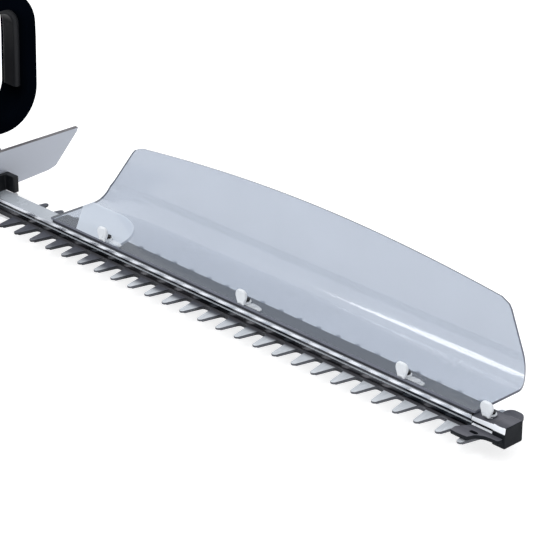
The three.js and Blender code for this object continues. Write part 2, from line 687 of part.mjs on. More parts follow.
function gearboxHousing() {
  const bottom = RAIL_BOTTOM_Z + GAP;
  const outline = rectangle(GEARBOX_BACK_X, GEARBOX_FRONT_X, -GEARBOX_HALF_WIDTH, GEARBOX_HALF_WIDTH, 6);
  let housing = plateZ(outline, bottom, GEARBOX_TOP_Z);
  const roof = GEARBOX_TOP_Z - 4;
  housing = housing.subtract(box(-40, 34, -CAVITY_HALF_WIDTH, CAVITY_HALF_WIDTH, bottom - 1, roof));
  housing = housing.subtract(rod("z", MOTOR_X, 0, 30, 50, 8, 24));
  housing = housing.subtract(rod("z", 0, 0, 30, 50, 4 + GAP, 16));
  for (const [x, y] of BASE_BOLTS) {
    housing = housing.subtract(rod("z", x, y, bottom - 1, 36, 2 + GAP, 10));
  }
  return housing;
}

// A spur gear outline: trapezoidal teeth with free play at the pitch line.
function gearOutline(teeth, phase) {
  const pitchRadius = (teeth * GEAR_MODULE) / 2;
  const tip = pitchRadius + 0.75 * GEAR_MODULE;
  const root = pitchRadius - 1.15 * GEAR_MODULE;
  const step = (2 * Math.PI) / teeth;
  const shape = new THREE.Shape();
  for (let i = 0; i < teeth; i++) {
    const angle = phase + i * step;
    const corners = [
      [root, -0.3],
      [tip, -0.11],
      [tip, 0.11],
      [root, 0.3],
    ];
    corners.forEach(([radius, turn], j) => {
      const a = angle + turn * step;
      const point = [radius * Math.cos(a), radius * Math.sin(a)];
      if (i === 0 && j === 0) {
        shape.moveTo(...point);
      } else {
        shape.lineTo(...point);
      }
    });
  }
  shape.closePath();
  return shape;
}

const GEAR_Z = 30;
const GEAR_FACE = 7;

function driveGear() {
  const rim = plateZ(gearOutline(GEAR_TEETH, 0), GEAR_Z, GEAR_Z + GEAR_FACE);
  let gear = rim.add(rod("z", 0, 0, UPPER_BLADE_TOP, GEAR_Z + 1, 9, 24));
  const upperLow = UPPER_BLADE_Z - 0.1;
  gear = gear.add(rod("z", ECCENTRICITY, 0, upperLow, UPPER_BLADE_TOP + 0.2, ECCENTRIC_RADIUS, 24));
  gear = gear.add(rod("z", -ECCENTRICITY, 0, LOWER_BLADE_Z, UPPER_BLADE_Z, ECCENTRIC_RADIUS, 24));
  const holeCount = 4;
  for (let i = 0; i < holeCount; i++) {
    const angle = ((i + 0.5) * 2 * Math.PI) / holeCount;
    const hole = rod("z", 15.5 * Math.cos(angle), 15.5 * Math.sin(angle), GEAR_Z - 1, GEAR_Z + 10, 3.6, 12);
    gear = gear.subtract(hole);
  }
  return gear.subtract(rod("z", 0, 0, 0, 60, 4 + GAP, 16));
}

add("base_plate", basePlate(), ALUMINIUM);
add("gearbox_housing", gearboxHousing(), ALUMINIUM);
BASE_BOLTS.forEach(([x, y], i) => {
  add(`base_bolt_${i + 1}`, rod("z", x, y, 0.6, 2.7, 4, 12).add(rod("z", x, y, 2, 34, 2, 10)), DARK_STEEL);
});
add("drive_gear", driveGear(), DARK_STEEL);
add("gear_axle", rod("z", 0, 0, 5 + GAP, GEARBOX_TOP_Z, 4, 16), BLADE_STEEL);

// ---------------------------------------------------------------- motor
function motorCan() {
  const can = rod("z", MOTOR_X, 0, MOTOR_BOTTOM_Z, MOTOR_TOP_Z, MOTOR_RADIUS, 24);
  const spigot = rod("z", MOTOR_X, 0, MOTOR_BOTTOM_Z - 1.6, MOTOR_BOTTOM_Z + 1, 12, 24);
  return can.add(spigot).subtract(rod("z", MOTOR_X, 0, 30, 120, 2.5 + GAP, 16));
}

function motorPinion() {
  const phase = Math.PI / PINION_TEETH;
  const teeth = plateZ(gearOutline(PINION_TEETH, phase), GEAR_Z + 0.5, GEAR_Z + GEAR_FACE - 0.5);
  return teeth.translate([MOTOR_X, 0, 0]).add(rod("z", MOTOR_X, 0, GEAR_Z, MOTOR_TOP_Z + 10, 2.5, 16));
}

function coolingFan() {
  const z0 = MOTOR_TOP_Z + 2;
  let fan = rod("z", MOTOR_X, 0, z0, z0 + 1.6, 18, 20).add(rod("z", MOTOR_X, 0, z0, z0 + 7, 5, 12));
  const vaneCount = 7;
  for (let i = 0; i < vaneCount; i++) {
    const vane = box(4, 17, -0.6, 0.6, z0 + 1, z0 + 6.5).rotate([0, 0, (360 * i) / vaneCount]);
    fan = fan.add(vane.translate([MOTOR_X, 0, 0]));
  }
  return fan.subtract(rod("z", MOTOR_X, 0, z0 - 1, z0 + 9, 2.5 + GAP, 16));
}

add("motor_can", motorCan(), DARK_STEEL);
add("motor_pinion", motorPinion(), BLADE_STEEL);
add("cooling_fan", coolingFan(), BLACK_PLASTIC);

// ---------------------------------------------------------------- housing halves
const TRIGGER_HALF_WIDTH = 7;
const LOCK_X = -116;
const HOUSING_SCREWS = [
  [28, 92],
  [-74, 40],
  [-90, 95],
  [-285, 30],
];
const GRIP_TOP_Z = 113;
const GRIP_BOTTOM_Z = 81;
const BRIDGE_TOP_Z = 44;
const BRIDGE_BOTTOM_Z = 12;
const BODY_BACK_X = -84;
const NOSE_TOP_Z = 48; // over the gearbox, in front of the motor

function bodyProfile(inset) {
  return rounded([
    [71 - inset, 24 - inset, 8],
    [71 - inset, NOSE_TOP_Z - inset, 9],
    [41 - inset, NOSE_TOP_Z - inset, 6],
    [40 - inset, 108 - inset, 12],
    [14, BODY_TOP_Z - inset, 18],
    [-66, BODY_TOP_Z - inset, 10],
    [BODY_BACK_X + inset, 102 - inset, 10],
    [BODY_BACK_X + inset, 24 - inset, 8],
  ]);
}

function gripProfile() {
  const outline = rounded([
    [-60, BRIDGE_BOTTOM_Z + 14, 8],
    [-60, GRIP_TOP_Z + 5, 8],
    [-110, GRIP_TOP_Z, 20],
    [-250, GRIP_TOP_Z - 4, 20],
    [DOCK_X, GRIP_TOP_Z - 6, 8],
    [DOCK_X, BRIDGE_BOTTOM_Z - 6, 8],
    [-250, BRIDGE_BOTTOM_Z - 6, 20],
    [-150, BRIDGE_BOTTOM_Z, 30],
    [-100, BRIDGE_BOTTOM_Z + 12, 20],
  ]);
  outline.holes.push(
    rounded([
      [-104, BRIDGE_TOP_Z + 6, 14],
      [-108, GRIP_BOTTOM_Z, 10],
      [-270, GRIP_BOTTOM_Z - 6, 16],
      [-276, BRIDGE_TOP_Z - 8, 16],
    ])
  );
  return outline;
}

// The whole housing as one hollow solid; the two halves are cut from it.
function wholeHousing() {
  const bevel = 7;
  const bevelSegments = 2;
  let shell = runY(bodyProfile(0), -BODY_HALF_WIDTH, BODY_HALF_WIDTH, bevel, bevelSegments);
  shell = shell.add(runY(gripProfile(), -GRIP_HALF_WIDTH, GRIP_HALF_WIDTH, bevel, bevelSegments));
  const dockProfile = rounded([
    [DOCK_X, 4, 6],
    [-298, 4, 10],
    [-292, 60, 20],
    [-298, GRIP_TOP_Z - 6, 10],
    [DOCK_X, GRIP_TOP_Z - 6, 6],
  ]);
  const dock = runY(dockProfile, -DOCK_HALF_WIDTH, DOCK_HALF_WIDTH, 4);
  shell = shell.add(dock);
  const chamber = runY(bodyProfile(WALL), -BODY_HALF_WIDTH + WALL, BODY_HALF_WIDTH - WALL, 5);
  const roomHalfWidth = GEARBOX_HALF_WIDTH + GAP;
  const gearboxRoom = box(-48, 90, -roomHalfWidth, roomHalfWidth, 0, GEARBOX_TOP_Z + GAP);
  const gripInside = GRIP_HALF_WIDTH - WALL;
  const gripRoom = box(-296, -70, -gripInside, gripInside, GRIP_BOTTOM_Z + 5, GRIP_TOP_Z - 8);
  const dockRoom = box(-312, -298, -30, 30, 12, GRIP_TOP_Z - 16);
  shell = shell.subtract(chamber).subtract(gearboxRoom).subtract(gripRoom).subtract(dockRoom);
  const triggerSlot = TRIGGER_HALF_WIDTH + 0.6;
  shell = shell.subtract(box(-172, -112, -triggerSlot, triggerSlot, 70, GRIP_BOTTOM_Z + 8));
  shell = shell.subtract(box(LOCK_X - 10, LOCK_X + 10, -6.5, 6.5, GRIP_TOP_Z - 12, 130));
  const ventCount = 5;
  for (let i = 0; i < ventCount; i++) {
    const x = -62 + i * 11;
    shell = shell.subtract(box(x, x + 4, -60, 60, 62, 94));
  }
  return shell;
}

function housingHalf(whole, side) {
  const reach = 200;
  const leftHalf = box(-500, 200, GAP / 2, reach, -10, 200);
  let shell = whole;
  for (const [x, z] of HOUSING_SCREWS) {
    const bossReach = x < -80 ? GRIP_HALF_WIDTH - 2 : BODY_HALF_WIDTH - 2;
    shell = shell.add(rod("y", x, z, -bossReach, bossReach, 4.6, 12));
    shell = shell.subtract(rod("y", x, z, -60, bossReach - 4, 1.8 + GAP, 8));
    shell = shell.subtract(rod("y", x, z, -60, -bossReach + 3, 3.4 + GAP, 12));
  }
  shell = shell.intersect(side > 0 ? leftHalf : mirrorY(leftHalf));
  return shell.subtract(rod("y", ...HANDLE_SCREW, -60, 60, 2 + GAP, 12));
}

const whole = wholeHousing();
add("housing_left", housingHalf(whole, 1), SHELL_PLASTIC);
add("housing_right", housingHalf(whole, -1), SHELL_PLASTIC);
HOUSING_SCREWS.forEach(([x, z], i) => {
  const reach = (x < -80 ? GRIP_HALF_WIDTH : BODY_HALF_WIDTH) - 2;
  const head = rod("y", x, z, -reach, -reach + 2.6, 3.4, 12);
  add(`housing_screw_${i + 1}`, head.add(rod("y", x, z, -reach + 2, reach - 5, 1.8, 8)), DARK_STEEL);
});

// Screws that hold the feet of the bow, driven from inside the housing.
function handleScrew(side) {
  const inner = BODY_HALF_WIDTH - WALL - GAP;
  const head = rod("y", ...HANDLE_SCREW, inner - 2, inner, 4, 12);
  const screw = head.add(rod("y", ...HANDLE_SCREW, inner - 1, inner + 13, 2, 10));
  return side > 0 ? screw : mirrorY(screw);
}

add("handle_screw_left", handleScrew(1), DARK_STEEL);
add("handle_screw_right", handleScrew(-1), DARK_STEEL);

// ---------------------------------------------------------------- trigger, lock-off, switch, board
const TRIGGER_PIVOT = [-116, 93];

function rearTrigger() {
  const profile = rounded([
    [-112, 96, 2],
    [-121, 97, 2],
    [-167, 90, 2],
    [-168, 84, 2],
    [-160, 74, 8],
    [-140, 71, 12],
    [-124, 74, 8],
    [-113, 84, 3],
  ]);
  const trigger = runY(profile, -TRIGGER_HALF_WIDTH, TRIGGER_HALF_WIDTH, 1.5);
  return trigger.subtract(rod("y", ...TRIGGER_PIVOT, -20, 20, 1.5 + GAP, 8));
}

add("rear_trigger", rearTrigger(), ACCENT_PLASTIC);
add("trigger_pin", rod("y", ...TRIGGER_PIVOT, -13, 13, 1.5, 12), BLADE_STEEL);

const lockOutline = rectangle(LOCK_X - 9, LOCK_X + 9, -5.5, 5.5, 3);
const lockButton = plateZ(lockOutline, GRIP_TOP_Z - 6, GRIP_TOP_Z + 6, 1.2);
const lockFlange = box(LOCK_X - 12, LOCK_X + 12, -9, 9, GRIP_TOP_Z - 10.5, GRIP_TOP_Z - 8.4);
const lockStem = box(LOCK_X - 6, LOCK_X + 6, -4, 4, GRIP_TOP_Z - 9, GRIP_TOP_Z - 5);
add("lock_off_button", lockButton.add(lockFlange).add(lockStem), ACCENT_PLASTIC);

const switchPlunger = box(-181, -176, -3, 3, 92, 96);
add("switch_module", box(-206, -180, -12, 12, 88, 103).add(switchPlunger), BLACK_PLASTIC);
const heatSink = box(-78, -70, -10, 10, 54, 70);
add("controller_board", box(-79, -77, -26, 26, 47, 90).add(heatSink), BOARD_GREEN);

// ---------------------------------------------------------------- battery dock and pack
const DOCK_PLATE_X = DOCK_X - GAP - 3;
const HOOK_X = DOCK_PLATE_X - 8;

function batteryDock() {
  const plate = box(DOCK_PLATE_X, DOCK_X - GAP, -30, 30, 10, 104);
  const hook = box(HOOK_X, DOCK_PLATE_X + 1, 20, 24, 22, 100).add(box(HOOK_X, HOOK_X + 3, 20, 29, 22, 100));
  return plate.add(hook).add(mirrorY(hook));
}

function batteryPack() {
  const front = DOCK_PLATE_X - GAP;
  const profile = rounded([
    [front, 0, 4],
    [front, PACK_TOP_Z, 6],
    [PACK_BACK_X, PACK_TOP_Z, 12],
    [PACK_BACK_X, 0, 8],
  ]);
  let pack = runY(profile, -DOCK_HALF_WIDTH, DOCK_HALF_WIDTH, 3);
  const play = 0.6;
  const neck = box(HOOK_X - play, front + 1, 20 - play, 24 + play, -1, 101);
  const groove = neck.add(box(HOOK_X - play, HOOK_X + 3 + play, 20 - play, 29 + play, -1, 101));
  pack = pack.subtract(groove).subtract(mirrorY(groove));
  pack = pack.subtract(box(front - 12, front + 1, -13, 13, -1, 84));
  const buttonBay = box(PACK_BACK_X - 1, PACK_BACK_X + 14, -10.5, 10.5, 69.5, 90.5);
  return pack.subtract(buttonBay);
}

function terminalBlock() {
  let block = box(DOCK_PLATE_X - 6, DOCK_PLATE_X - GAP, -12, 12, 40, 70);
  for (const y of [-7, 0, 7]) {
    block = block.add(box(DOCK_PLATE_X - 10, DOCK_PLATE_X - 5, y - 0.6, y + 0.6, 44, 66));
  }
  return block;
}

add("battery_dock", batteryDock(), BLACK_PLASTIC);
add("battery_pack", batteryPack(), BLACK_PLASTIC);
add("terminal_block", terminalBlock(), BRASS);
const buttonProfile = rounded([
  [PACK_BACK_X - 2, 70, 2],
  [PACK_BACK_X + 8, 70],
  [PACK_BACK_X + 8, 90],
  [PACK_BACK_X - 2, 90, 2],
]);
add("battery_release_button", runY(buttonProfile, -10, 10, 1), ACCENT_PLASTIC);

export default trimmer;
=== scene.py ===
"""Looks of the hedge trimmer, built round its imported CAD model.

Outlines are in millimetres in the CAD frame: +X to the blade tip, +Y to the user's left, +Z up.
"""
import json
import math

import bmesh
import bpy
from mathutils import Matrix, Vector

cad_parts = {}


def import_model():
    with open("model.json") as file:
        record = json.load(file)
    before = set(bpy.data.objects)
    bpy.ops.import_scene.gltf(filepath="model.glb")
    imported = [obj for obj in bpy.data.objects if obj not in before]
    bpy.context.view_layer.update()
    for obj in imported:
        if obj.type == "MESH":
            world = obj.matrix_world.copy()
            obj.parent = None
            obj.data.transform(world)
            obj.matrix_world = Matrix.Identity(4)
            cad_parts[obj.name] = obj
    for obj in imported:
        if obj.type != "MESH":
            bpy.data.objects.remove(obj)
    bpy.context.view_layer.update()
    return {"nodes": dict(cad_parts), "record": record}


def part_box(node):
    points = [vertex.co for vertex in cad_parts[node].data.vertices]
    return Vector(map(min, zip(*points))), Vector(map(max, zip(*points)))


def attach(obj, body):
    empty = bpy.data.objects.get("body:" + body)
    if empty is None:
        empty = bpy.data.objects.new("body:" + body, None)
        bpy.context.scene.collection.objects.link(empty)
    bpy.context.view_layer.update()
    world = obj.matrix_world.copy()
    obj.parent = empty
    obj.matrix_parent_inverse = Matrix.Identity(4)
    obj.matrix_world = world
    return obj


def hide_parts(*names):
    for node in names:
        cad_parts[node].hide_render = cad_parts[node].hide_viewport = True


MM = 0.001
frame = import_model()
NODES = frame["nodes"]
BODY_OF = {node: body for body, nodes in frame["record"]["behaviour"]["bodies"].items() for node in nodes}
SLOT_OF = {entry["node"]: entry["material_slot"] for entry in frame["record"]["subparts"]}


def box_mm(node):
    """The lowest and highest corner of a CAD node, in millimetres."""
    low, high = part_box(node)
    return low / MM, high / MM


# ---------------------------------------------------------------- outlines
def rounded(points, steps=6):
    """A closed outline through (a, b, radius) points, with a true arc of equal steps at each corner.

    Where the arcs at the two ends of an edge would run into each other, both are made smaller.
    """
    count = len(points)
    corners = [Vector(point[:2]) for point in points]
    sides = [corners[(i + 1) % count] - corners[i] for i in range(count)]
    half_angles = [(-sides[i - 1]).angle(sides[i]) / 2 for i in range(count)]
    reaches = []
    for point, half_angle in zip(points, half_angles):
        radius = point[2] if len(point) > 2 else 0
        straight = half_angle > math.radians(89.5)
        reaches.append(0 if straight else radius / math.tan(half_angle))
    for i in range(count):
        wanted = reaches[i] + reaches[(i + 1) % count]
        room = 0.98 * sides[i].length
        if wanted > room:
            reaches[i] *= room / wanted
            reaches[(i + 1) % count] *= room / wanted
    outline = []
    for i in range(count):
        if reaches[i] == 0:
            outline.append(corners[i])
            continue
        before = -sides[i - 1].normalized()
        after = sides[i].normalized()
        radius = reaches[i] * math.tan(half_angles[i])
        centre = corners[i] + (before + after).normalized() * radius / math.sin(half_angles[i])
        start = corners[i] + before * reaches[i] - centre
        end = corners[i] + after * reaches[i] - centre
        turn = start.angle_signed(end)
        for step in range(steps + 1):
            spoke = start.copy()
            spoke.rotate(Matrix.Rotation(-turn * step / steps, 2))
            outline.append(centre + spoke)
    return outline


def rectangle(a0, a1, b0, b1, radius=0, steps=6):
    return rounded([(a0, b0, radius), (a1, b0, radius), (a1, b1, radius), (a0, b1, radius)], steps)


def circle(a, b, radius, count=32):
    angles = [2 * math.pi * i / count for i in range(count)]
    return [Vector((a + radius * math.cos(angle), b + radius * math.sin(angle))) for angle in angles]


def mirrored(half):
    """Closes a half outline (a, b, radius) on its mirror image across a = 0."""
    return [*half, *[(-a, b, r) for a, b, r in reversed(half)]]


# ---------------------------------------------------------------- meshes
def to_frame(axis, a, b, c):
    """A point drawn as (a, b) in the plane across an axis, at c along it, in metres."""
    if axis == "x":
        place = (c, a, b)
    elif axis == "y":
        place = (a, c, b)
    else:
        place = (a, b, c)
    return Vector(place) * MM


def new_object(name, mesh):
    piece = bpy.data.objects.new(name, mesh)
    bpy.context.scene.collection.objects.link(piece)
    return piece


def smooth_by_angle(piece, degrees=32):
    """Smooth shading that breaks at every edge sharper than the angle."""
    form = bmesh.new()
    form.from_mesh(piece.data)
    bmesh.ops.remove_doubles(form, verts=form.verts, dist=0.00001)
    bmesh.ops.recalc_face_normals(form, faces=form.faces)
    limit = math.radians(degrees)
    for face in form.faces:
        face.smooth = True
    for edge in form.edges:
        edge.smooth = len(edge.link_faces) == 2 and edge.calc_face_angle(0) < limit
    form.to_mesh(piece.data)
    form.free()
    return piece


def plate(name, loops, axis, low, high, bevel=0.0, steps=3):
    """A solid between low and high along an axis, from closed outlines: the first outside, the rest holes."""
    drawn = bpy.data.curves.new(name + "_outline", "CURVE")
    drawn.dimensions = "2D"
    drawn.fill_mode = "BOTH"
    drawn.extrude = (high - low) / 2 - bevel
    drawn.bevel_depth = bevel
    drawn.bevel_resolution = steps
    drawn.offset = -bevel
    for loop in loops:
        spline = drawn.splines.new("POLY")
        spline.points.add(len(loop) - 1)
        for point, (a, b) in zip(spline.points, loop):
            point.co = (a, b, 0, 1)
        spline.use_cyclic_u = True
    holder = bpy.data.objects.new(name + "_outline", drawn)
    mesh = bpy.data.meshes.new_from_object(holder)
    bpy.data.objects.remove(holder)
    middle = (low + high) / 2
    for vertex in mesh.vertices:
        vertex.co = to_frame(axis, vertex.co.x, vertex.co.y, vertex.co.z + middle)
    mesh.name = name
    mesh.materials.clear()
    return smooth_by_angle(new_object(name, mesh))


def rod(name, axis, a, b, low, high, radius, bevel=0.3, count=32):
    return plate(name, [circle(a, b, radius, count)], axis, low, high, bevel, 2)


def block(name, x0, x1, y0, y1, z0, z1, radius=0.0, bevel=0.0):
    return plate(name, [rectangle(x0, x1, y0, y1, radius)], "z", z0, z1, bevel)


def swept(name, loop_at, section, axis="x"):
    """A closed band: each (inset, c) point of the section gives one loop, at c along the axis."""
    points = []
    for inset, c in section:
        loop = loop_at(inset)
        count = len(loop)
        points += [to_frame(axis, a, b, c) for a, b in loop]
    faces = []
    layers = len(section)
    for layer in range(layers):
        start = layer * count
        end = ((layer + 1) % layers) * count
        for i in range(count):
            j = (i + 1) % count
            faces.append((start + i, start + j, end + j, end + i))
    mesh = bpy.data.meshes.new(name)
    mesh.from_pydata(points, [], faces)
    return smooth_by_angle(new_object(name, mesh))


def apply_modifiers(piece):
    """Replaces the piece's mesh with the result of its modifiers."""
    evaluated = piece.evaluated_get(bpy.context.evaluated_depsgraph_get())
    made = bpy.data.meshes.new_from_object(evaluated)
    piece.modifiers.clear()
    piece.data = made
    return piece


def combine(piece, tool, operation="DIFFERENCE"):
    """Cuts, joins or intersects a piece with a tool solid, and deletes the tool."""
    boolean = piece.modifiers.new("boolean", "BOOLEAN")
    boolean.operation = operation
    boolean.solver = "MANIFOLD"
    boolean.object = tool
    apply_modifiers(piece)
    bpy.data.objects.remove(tool)
    return piece


def join(name, pieces):
    """One object from several closed meshes."""
    form = bmesh.new()
    for piece in pieces:
        form.from_mesh(piece.data)
        bpy.data.objects.remove(piece)
    mesh = bpy.data.meshes.new(name)
    form.to_mesh(mesh)
    form.free()
    return new_object(name, mesh)


# ---------------------------------------------------------------- materials
def new_material(name):
    material = bpy.data.materials.new(name)
    material.use_nodes = True
    nodes = material.node_tree.nodes
    links = material.node_tree.links
    return material, nodes, links, nodes["Principled BSDF"]


def noise_node(nodes, links, scale, stretch=(1, 1, 1), detail=4.0):
    """Noise in the part's own frame: scale is in features per metre, stretch turns grain to streaks."""
    place = nodes.new("ShaderNodeTexCoord")
    mapping = nodes.new("ShaderNodeMapping")
    mapping.inputs["Scale"].default_value = stretch
    noise = nodes.new("ShaderNodeTexNoise")
    noise.inputs["Scale"].default_value = scale
    noise.inputs["Detail"].default_value = detail
    links.new(place.outputs["Object"], mapping.inputs["Vector"])
    links.new(mapping.outputs["Vector"], noise.inputs["Vector"])
    return noise


def shade_between(nodes, links, factor, dark, light, low=0.35, high=0.65):
    """A colour ramp between two linear colours, driven by a factor socket."""
    ramp = nodes.new("ShaderNodeValToRGB")
    ramp.color_ramp.elements[0].position = low
    ramp.color_ramp.elements[0].color = (*dark, 1)
    ramp.color_ramp.elements[1].position = high
    ramp.color_ramp.elements[1].color = (*light, 1)
    links.new(factor, ramp.inputs["Fac"])
    return ramp.outputs["Color"]


def value_between(nodes, links, factor, low, high):
    spread = nodes.new("ShaderNodeMapRange")
    spread.inputs["From Min"].default_value = 0.3
    spread.inputs["From Max"].default_value = 0.7
    spread.inputs["To Min"].default_value = low
    spread.inputs["To Max"].default_value = high
    links.new(factor, spread.inputs["Value"])
    return spread.outputs["Result"]


def bump_from(nodes, links, factor, shader, distance, strength=1.0):
    bump = nodes.new("ShaderNodeBump")
    bump.inputs["Strength"].default_value = strength
    bump.inputs["Distance"].default_value = distance * MM
    links.new(factor, bump.inputs["Height"])
    links.new(bump.outputs["Normal"], shader.inputs["Normal"])


def plastic(name, color, roughness, grain=1400, grain_depth=0.03, spread=0.12, specular=0.5):
    """Moulded plastic: a fine spark-eroded grain, with soft handling marks in colour and gloss."""
    material, nodes, links, shader = new_material(name)
    marks = noise_node(nodes, links, 22, detail=5.0)
    dark = [c * (1 - spread) for c in color]
    light = [min(1, c * (1 + spread)) for c in color]
    color_out = shade_between(nodes, links, marks.outputs["Fac"], dark, light)
    links.new(color_out, shader.inputs["Base Color"])
    rough_out = value_between(nodes, links, marks.outputs["Fac"], roughness - 0.06, roughness + 0.06)
    links.new(rough_out, shader.inputs["Roughness"])
    shader.inputs["Specular IOR Level"].default_value = specular
    fine = noise_node(nodes, links, grain, detail=2.0)
    bump_from(nodes, links, fine.outputs["Fac"], shader, grain_depth)
    return material


def metal(name, color, roughness, streak=(1, 1, 1), streak_scale=900, depth=0.004, spread=0.15):
    """Worked metal: streaks along the direction that stretch makes long, and patches of wear."""
    material, nodes, links, shader = new_material(name)
    shader.inputs["Metallic"].default_value = 1.0
    lines = noise_node(nodes, links, streak_scale, streak, detail=3.0)
    dark = [c * (1 - spread) for c in color]
    light = [min(1, c * (1 + spread)) for c in color]
    color_out = shade_between(nodes, links, lines.outputs["Fac"], dark, light)
    links.new(color_out, shader.inputs["Base Color"])
    wear = noise_node(nodes, links, 40, detail=5.0)
    rough_out = value_between(nodes, links, wear.outputs["Fac"], roughness * 0.8, roughness * 1.25)
    links.new(rough_out, shader.inputs["Roughness"])
    bump_from(nodes, links, lines.outputs["Fac"], shader, depth)
    return material


ALONG_X = (0.02, 1, 1)
LOOKS = {
    "plain_steel": metal("plain_steel", (0.6, 0.6, 0.62), 0.25),
    "dark_steel": metal("dark_steel", (0.12, 0.12, 0.13), 0.35),
    "cast_aluminium": metal("cast_aluminium", (0.55, 0.55, 0.57), 0.42, (1, 1, 1), 500, 0.03),
    "dark_aluminium": metal("dark_aluminium", (0.05, 0.052, 0.062), 0.45, ALONG_X, 700, 0.004, 0.25),
    "white_plastic": plastic("white_plastic", (0.7, 0.73, 0.77), 0.3, 500, 0.05, 0.09),
    "bow_plastic": plastic("bow_plastic", (0.001, 0.0018, 0.0036), 0.5, 1600, 0.02, specular=0.0),
    "black_plastic": plastic("black_plastic", (0.007, 0.008, 0.01), 0.45, 1300, 0.03, specular=0.25),
    "shell_plastic": plastic("shell_plastic", (0.012, 0.013, 0.016), 0.5, 1300, 0.035, specular=0.25),
    "accent_plastic": plastic("accent_plastic", (0.42, 0.018, 0.013), 0.38, 1500, 0.015),
    "soft_rubber": plastic("soft_rubber", (0.022, 0.022, 0.024), 0.72, 900, 0.06, 0.2, 0.3),
    "lamp_green": plastic("lamp_green", (0.03, 0.42, 0.09), 0.25, 700, 0.01, 0.2, 0.5),
    "contact_brass": metal("contact_brass", (0.75, 0.55, 0.22), 0.25),
    "circuit_board": plastic("circuit_board", (0.015, 0.11, 0.045), 0.45, 600, 0.03, 0.35),
}


def math_node(nodes, links, operation, first, second=None):
    node = nodes.new("ShaderNodeMath")
    node.operation = operation
    for socket, value in zip(node.inputs, (first, second)):
        if isinstance(value, (int, float)):
            socket.default_value = value
        elif value is not None:
            links.new(value, socket)
    return node.outputs[0]


def place_parts(nodes, links):
    """The X, Y and Z sockets of the place on the part, in metres."""
    place = nodes.new("ShaderNodeTexCoord")
    split = nodes.new("ShaderNodeSeparateXYZ")
    links.new(place.outputs["Object"], split.inputs["Vector"])
    return split.outputs


def mask(nodes, links, value, low, high, ramp="LINEAR"):
    """0 where a value in metres is under low and 1 where it is over high, both in millimetres."""
    step = nodes.new("ShaderNodeMapRange")
    step.interpolation_type = ramp
    step.inputs["From Min"].default_value = low * MM
    step.inputs["From Max"].default_value = high * MM
    links.new(value, step.inputs["Value"])
    return step.outputs["Result"]


def height_mask(nodes, links, low, high):
    """0 below the height low and 1 above high, in millimetres."""
    return mask(nodes, links, place_parts(nodes, links)["Z"], low, high)


PALE_PATCH_OPACITY = 0.7


def pale_patch_opacity(nodes, links, base_opacity, x0, slope, x1, y1, radius):
    """The opacity that is high inside the area and base_opacity elsewhere.

    The area is right of a slanting line that crosses y = 0 at x0, left of x1 and near of y1, and the
    corner between the last two is round.
    """
    place = place_parts(nodes, links)
    across = math_node(nodes, links, "SUBTRACT", place["X"], (x1 - radius) * MM)
    across = math_node(nodes, links, "MAXIMUM", across, 0.0)
    beyond = math_node(nodes, links, "SUBTRACT", place["Y"], (y1 - radius) * MM)
    beyond = math_node(nodes, links, "MAXIMUM", beyond, 0.0)
    squares = [math_node(nodes, links, "MULTIPLY", part, part) for part in (across, beyond)]
    distance = math_node(nodes, links, "SQRT", math_node(nodes, links, "ADD", *squares))
    outside = mask(nodes, links, distance, radius - 1.5, radius)
    leaning = math_node(nodes, links, "MULTIPLY", place["Y"], slope)
    past_line = math_node(nodes, links, "ADD", place["X"], leaning)
    past_line = math_node(nodes, links, "GREATER_THAN", past_line, x0 * MM)
    inside = math_node(nodes, links, "SUBTRACT", 1.0, outside)
    inside = math_node(nodes, links, "MULTIPLY", inside, past_line)
    extra = math_node(nodes, links, "MULTIPLY", inside, PALE_PATCH_OPACITY - base_opacity)
    return math_node(nodes, links, "ADD", extra, base_opacity)


def tinted_sheet(name, tint, opaque_color, base_opacity, pale_patch=None):
    """A clear tinted plastic sheet: it dims what is behind it and reflects at its outer faces.

    pale_patch is (x0, slope, x1, y1, radius) in millimetres: a lighter, nearly opaque area of the flange.
    """
    material, nodes, links, shader = new_material(name)
    haze = noise_node(nodes, links, 18, detail=4.0)
    pale = [min(1, c * 1.04) for c in opaque_color]
    base_color = shade_between(nodes, links, haze.outputs["Fac"], opaque_color, pale)
    links.new(base_color, shader.inputs["Base Color"])
    shader.inputs["Roughness"].default_value = 0.35
    shader.inputs["Specular IOR Level"].default_value = 0.2
    clear = nodes.new("ShaderNodeBsdfTransparent")
    dim = [c * 0.985 for c in tint]
    links.new(shade_between(nodes, links, haze.outputs["Fac"], dim, tint), clear.inputs["Color"])
    gloss = nodes.new("ShaderNodeBsdfGlossy")
    gloss.inputs["Roughness"].default_value = 0.12
    fresnel = nodes.new("ShaderNodeFresnel")
    fresnel.inputs["IOR"].default_value = 1.5
    geometry = nodes.new("ShaderNodeNewGeometry")
    outer = math_node(nodes, links, "SUBTRACT", 1.0, geometry.outputs["Backfacing"])
    shine = math_node(nodes, links, "MULTIPLY", fresnel.outputs["Fac"], outer)
    body = nodes.new("ShaderNodeMixShader")
    body.inputs["Fac"].default_value = base_opacity
    links.new(clear.outputs["BSDF"], body.inputs[1])
    links.new(shader.outputs["BSDF"], body.inputs[2])
    surface = nodes.new("ShaderNodeMixShader")
    links.new(shine, surface.inputs["Fac"])
    links.new(body.outputs["Shader"], surface.inputs[1])
    links.new(gloss.outputs["BSDF"], surface.inputs[2])
    output = nodes["Material Output"]
    links.new(surface.outputs["Shader"], output.inputs["Surface"])
    if pale_patch:
        opacity = pale_patch_opacity(nodes, links, base_opacity, *pale_patch)
        links.new(opacity, body.inputs["Fac"])
    return material


def normal_part(nodes, links, axis):
    """One component of the surface normal."""
    geometry = nodes.new("ShaderNodeNewGeometry")
    split = nodes.new("ShaderNodeSeparateXYZ")
    links.new(geometry.outputs["Normal"], split.inputs["Vector"])
    return split.outputs[axis]


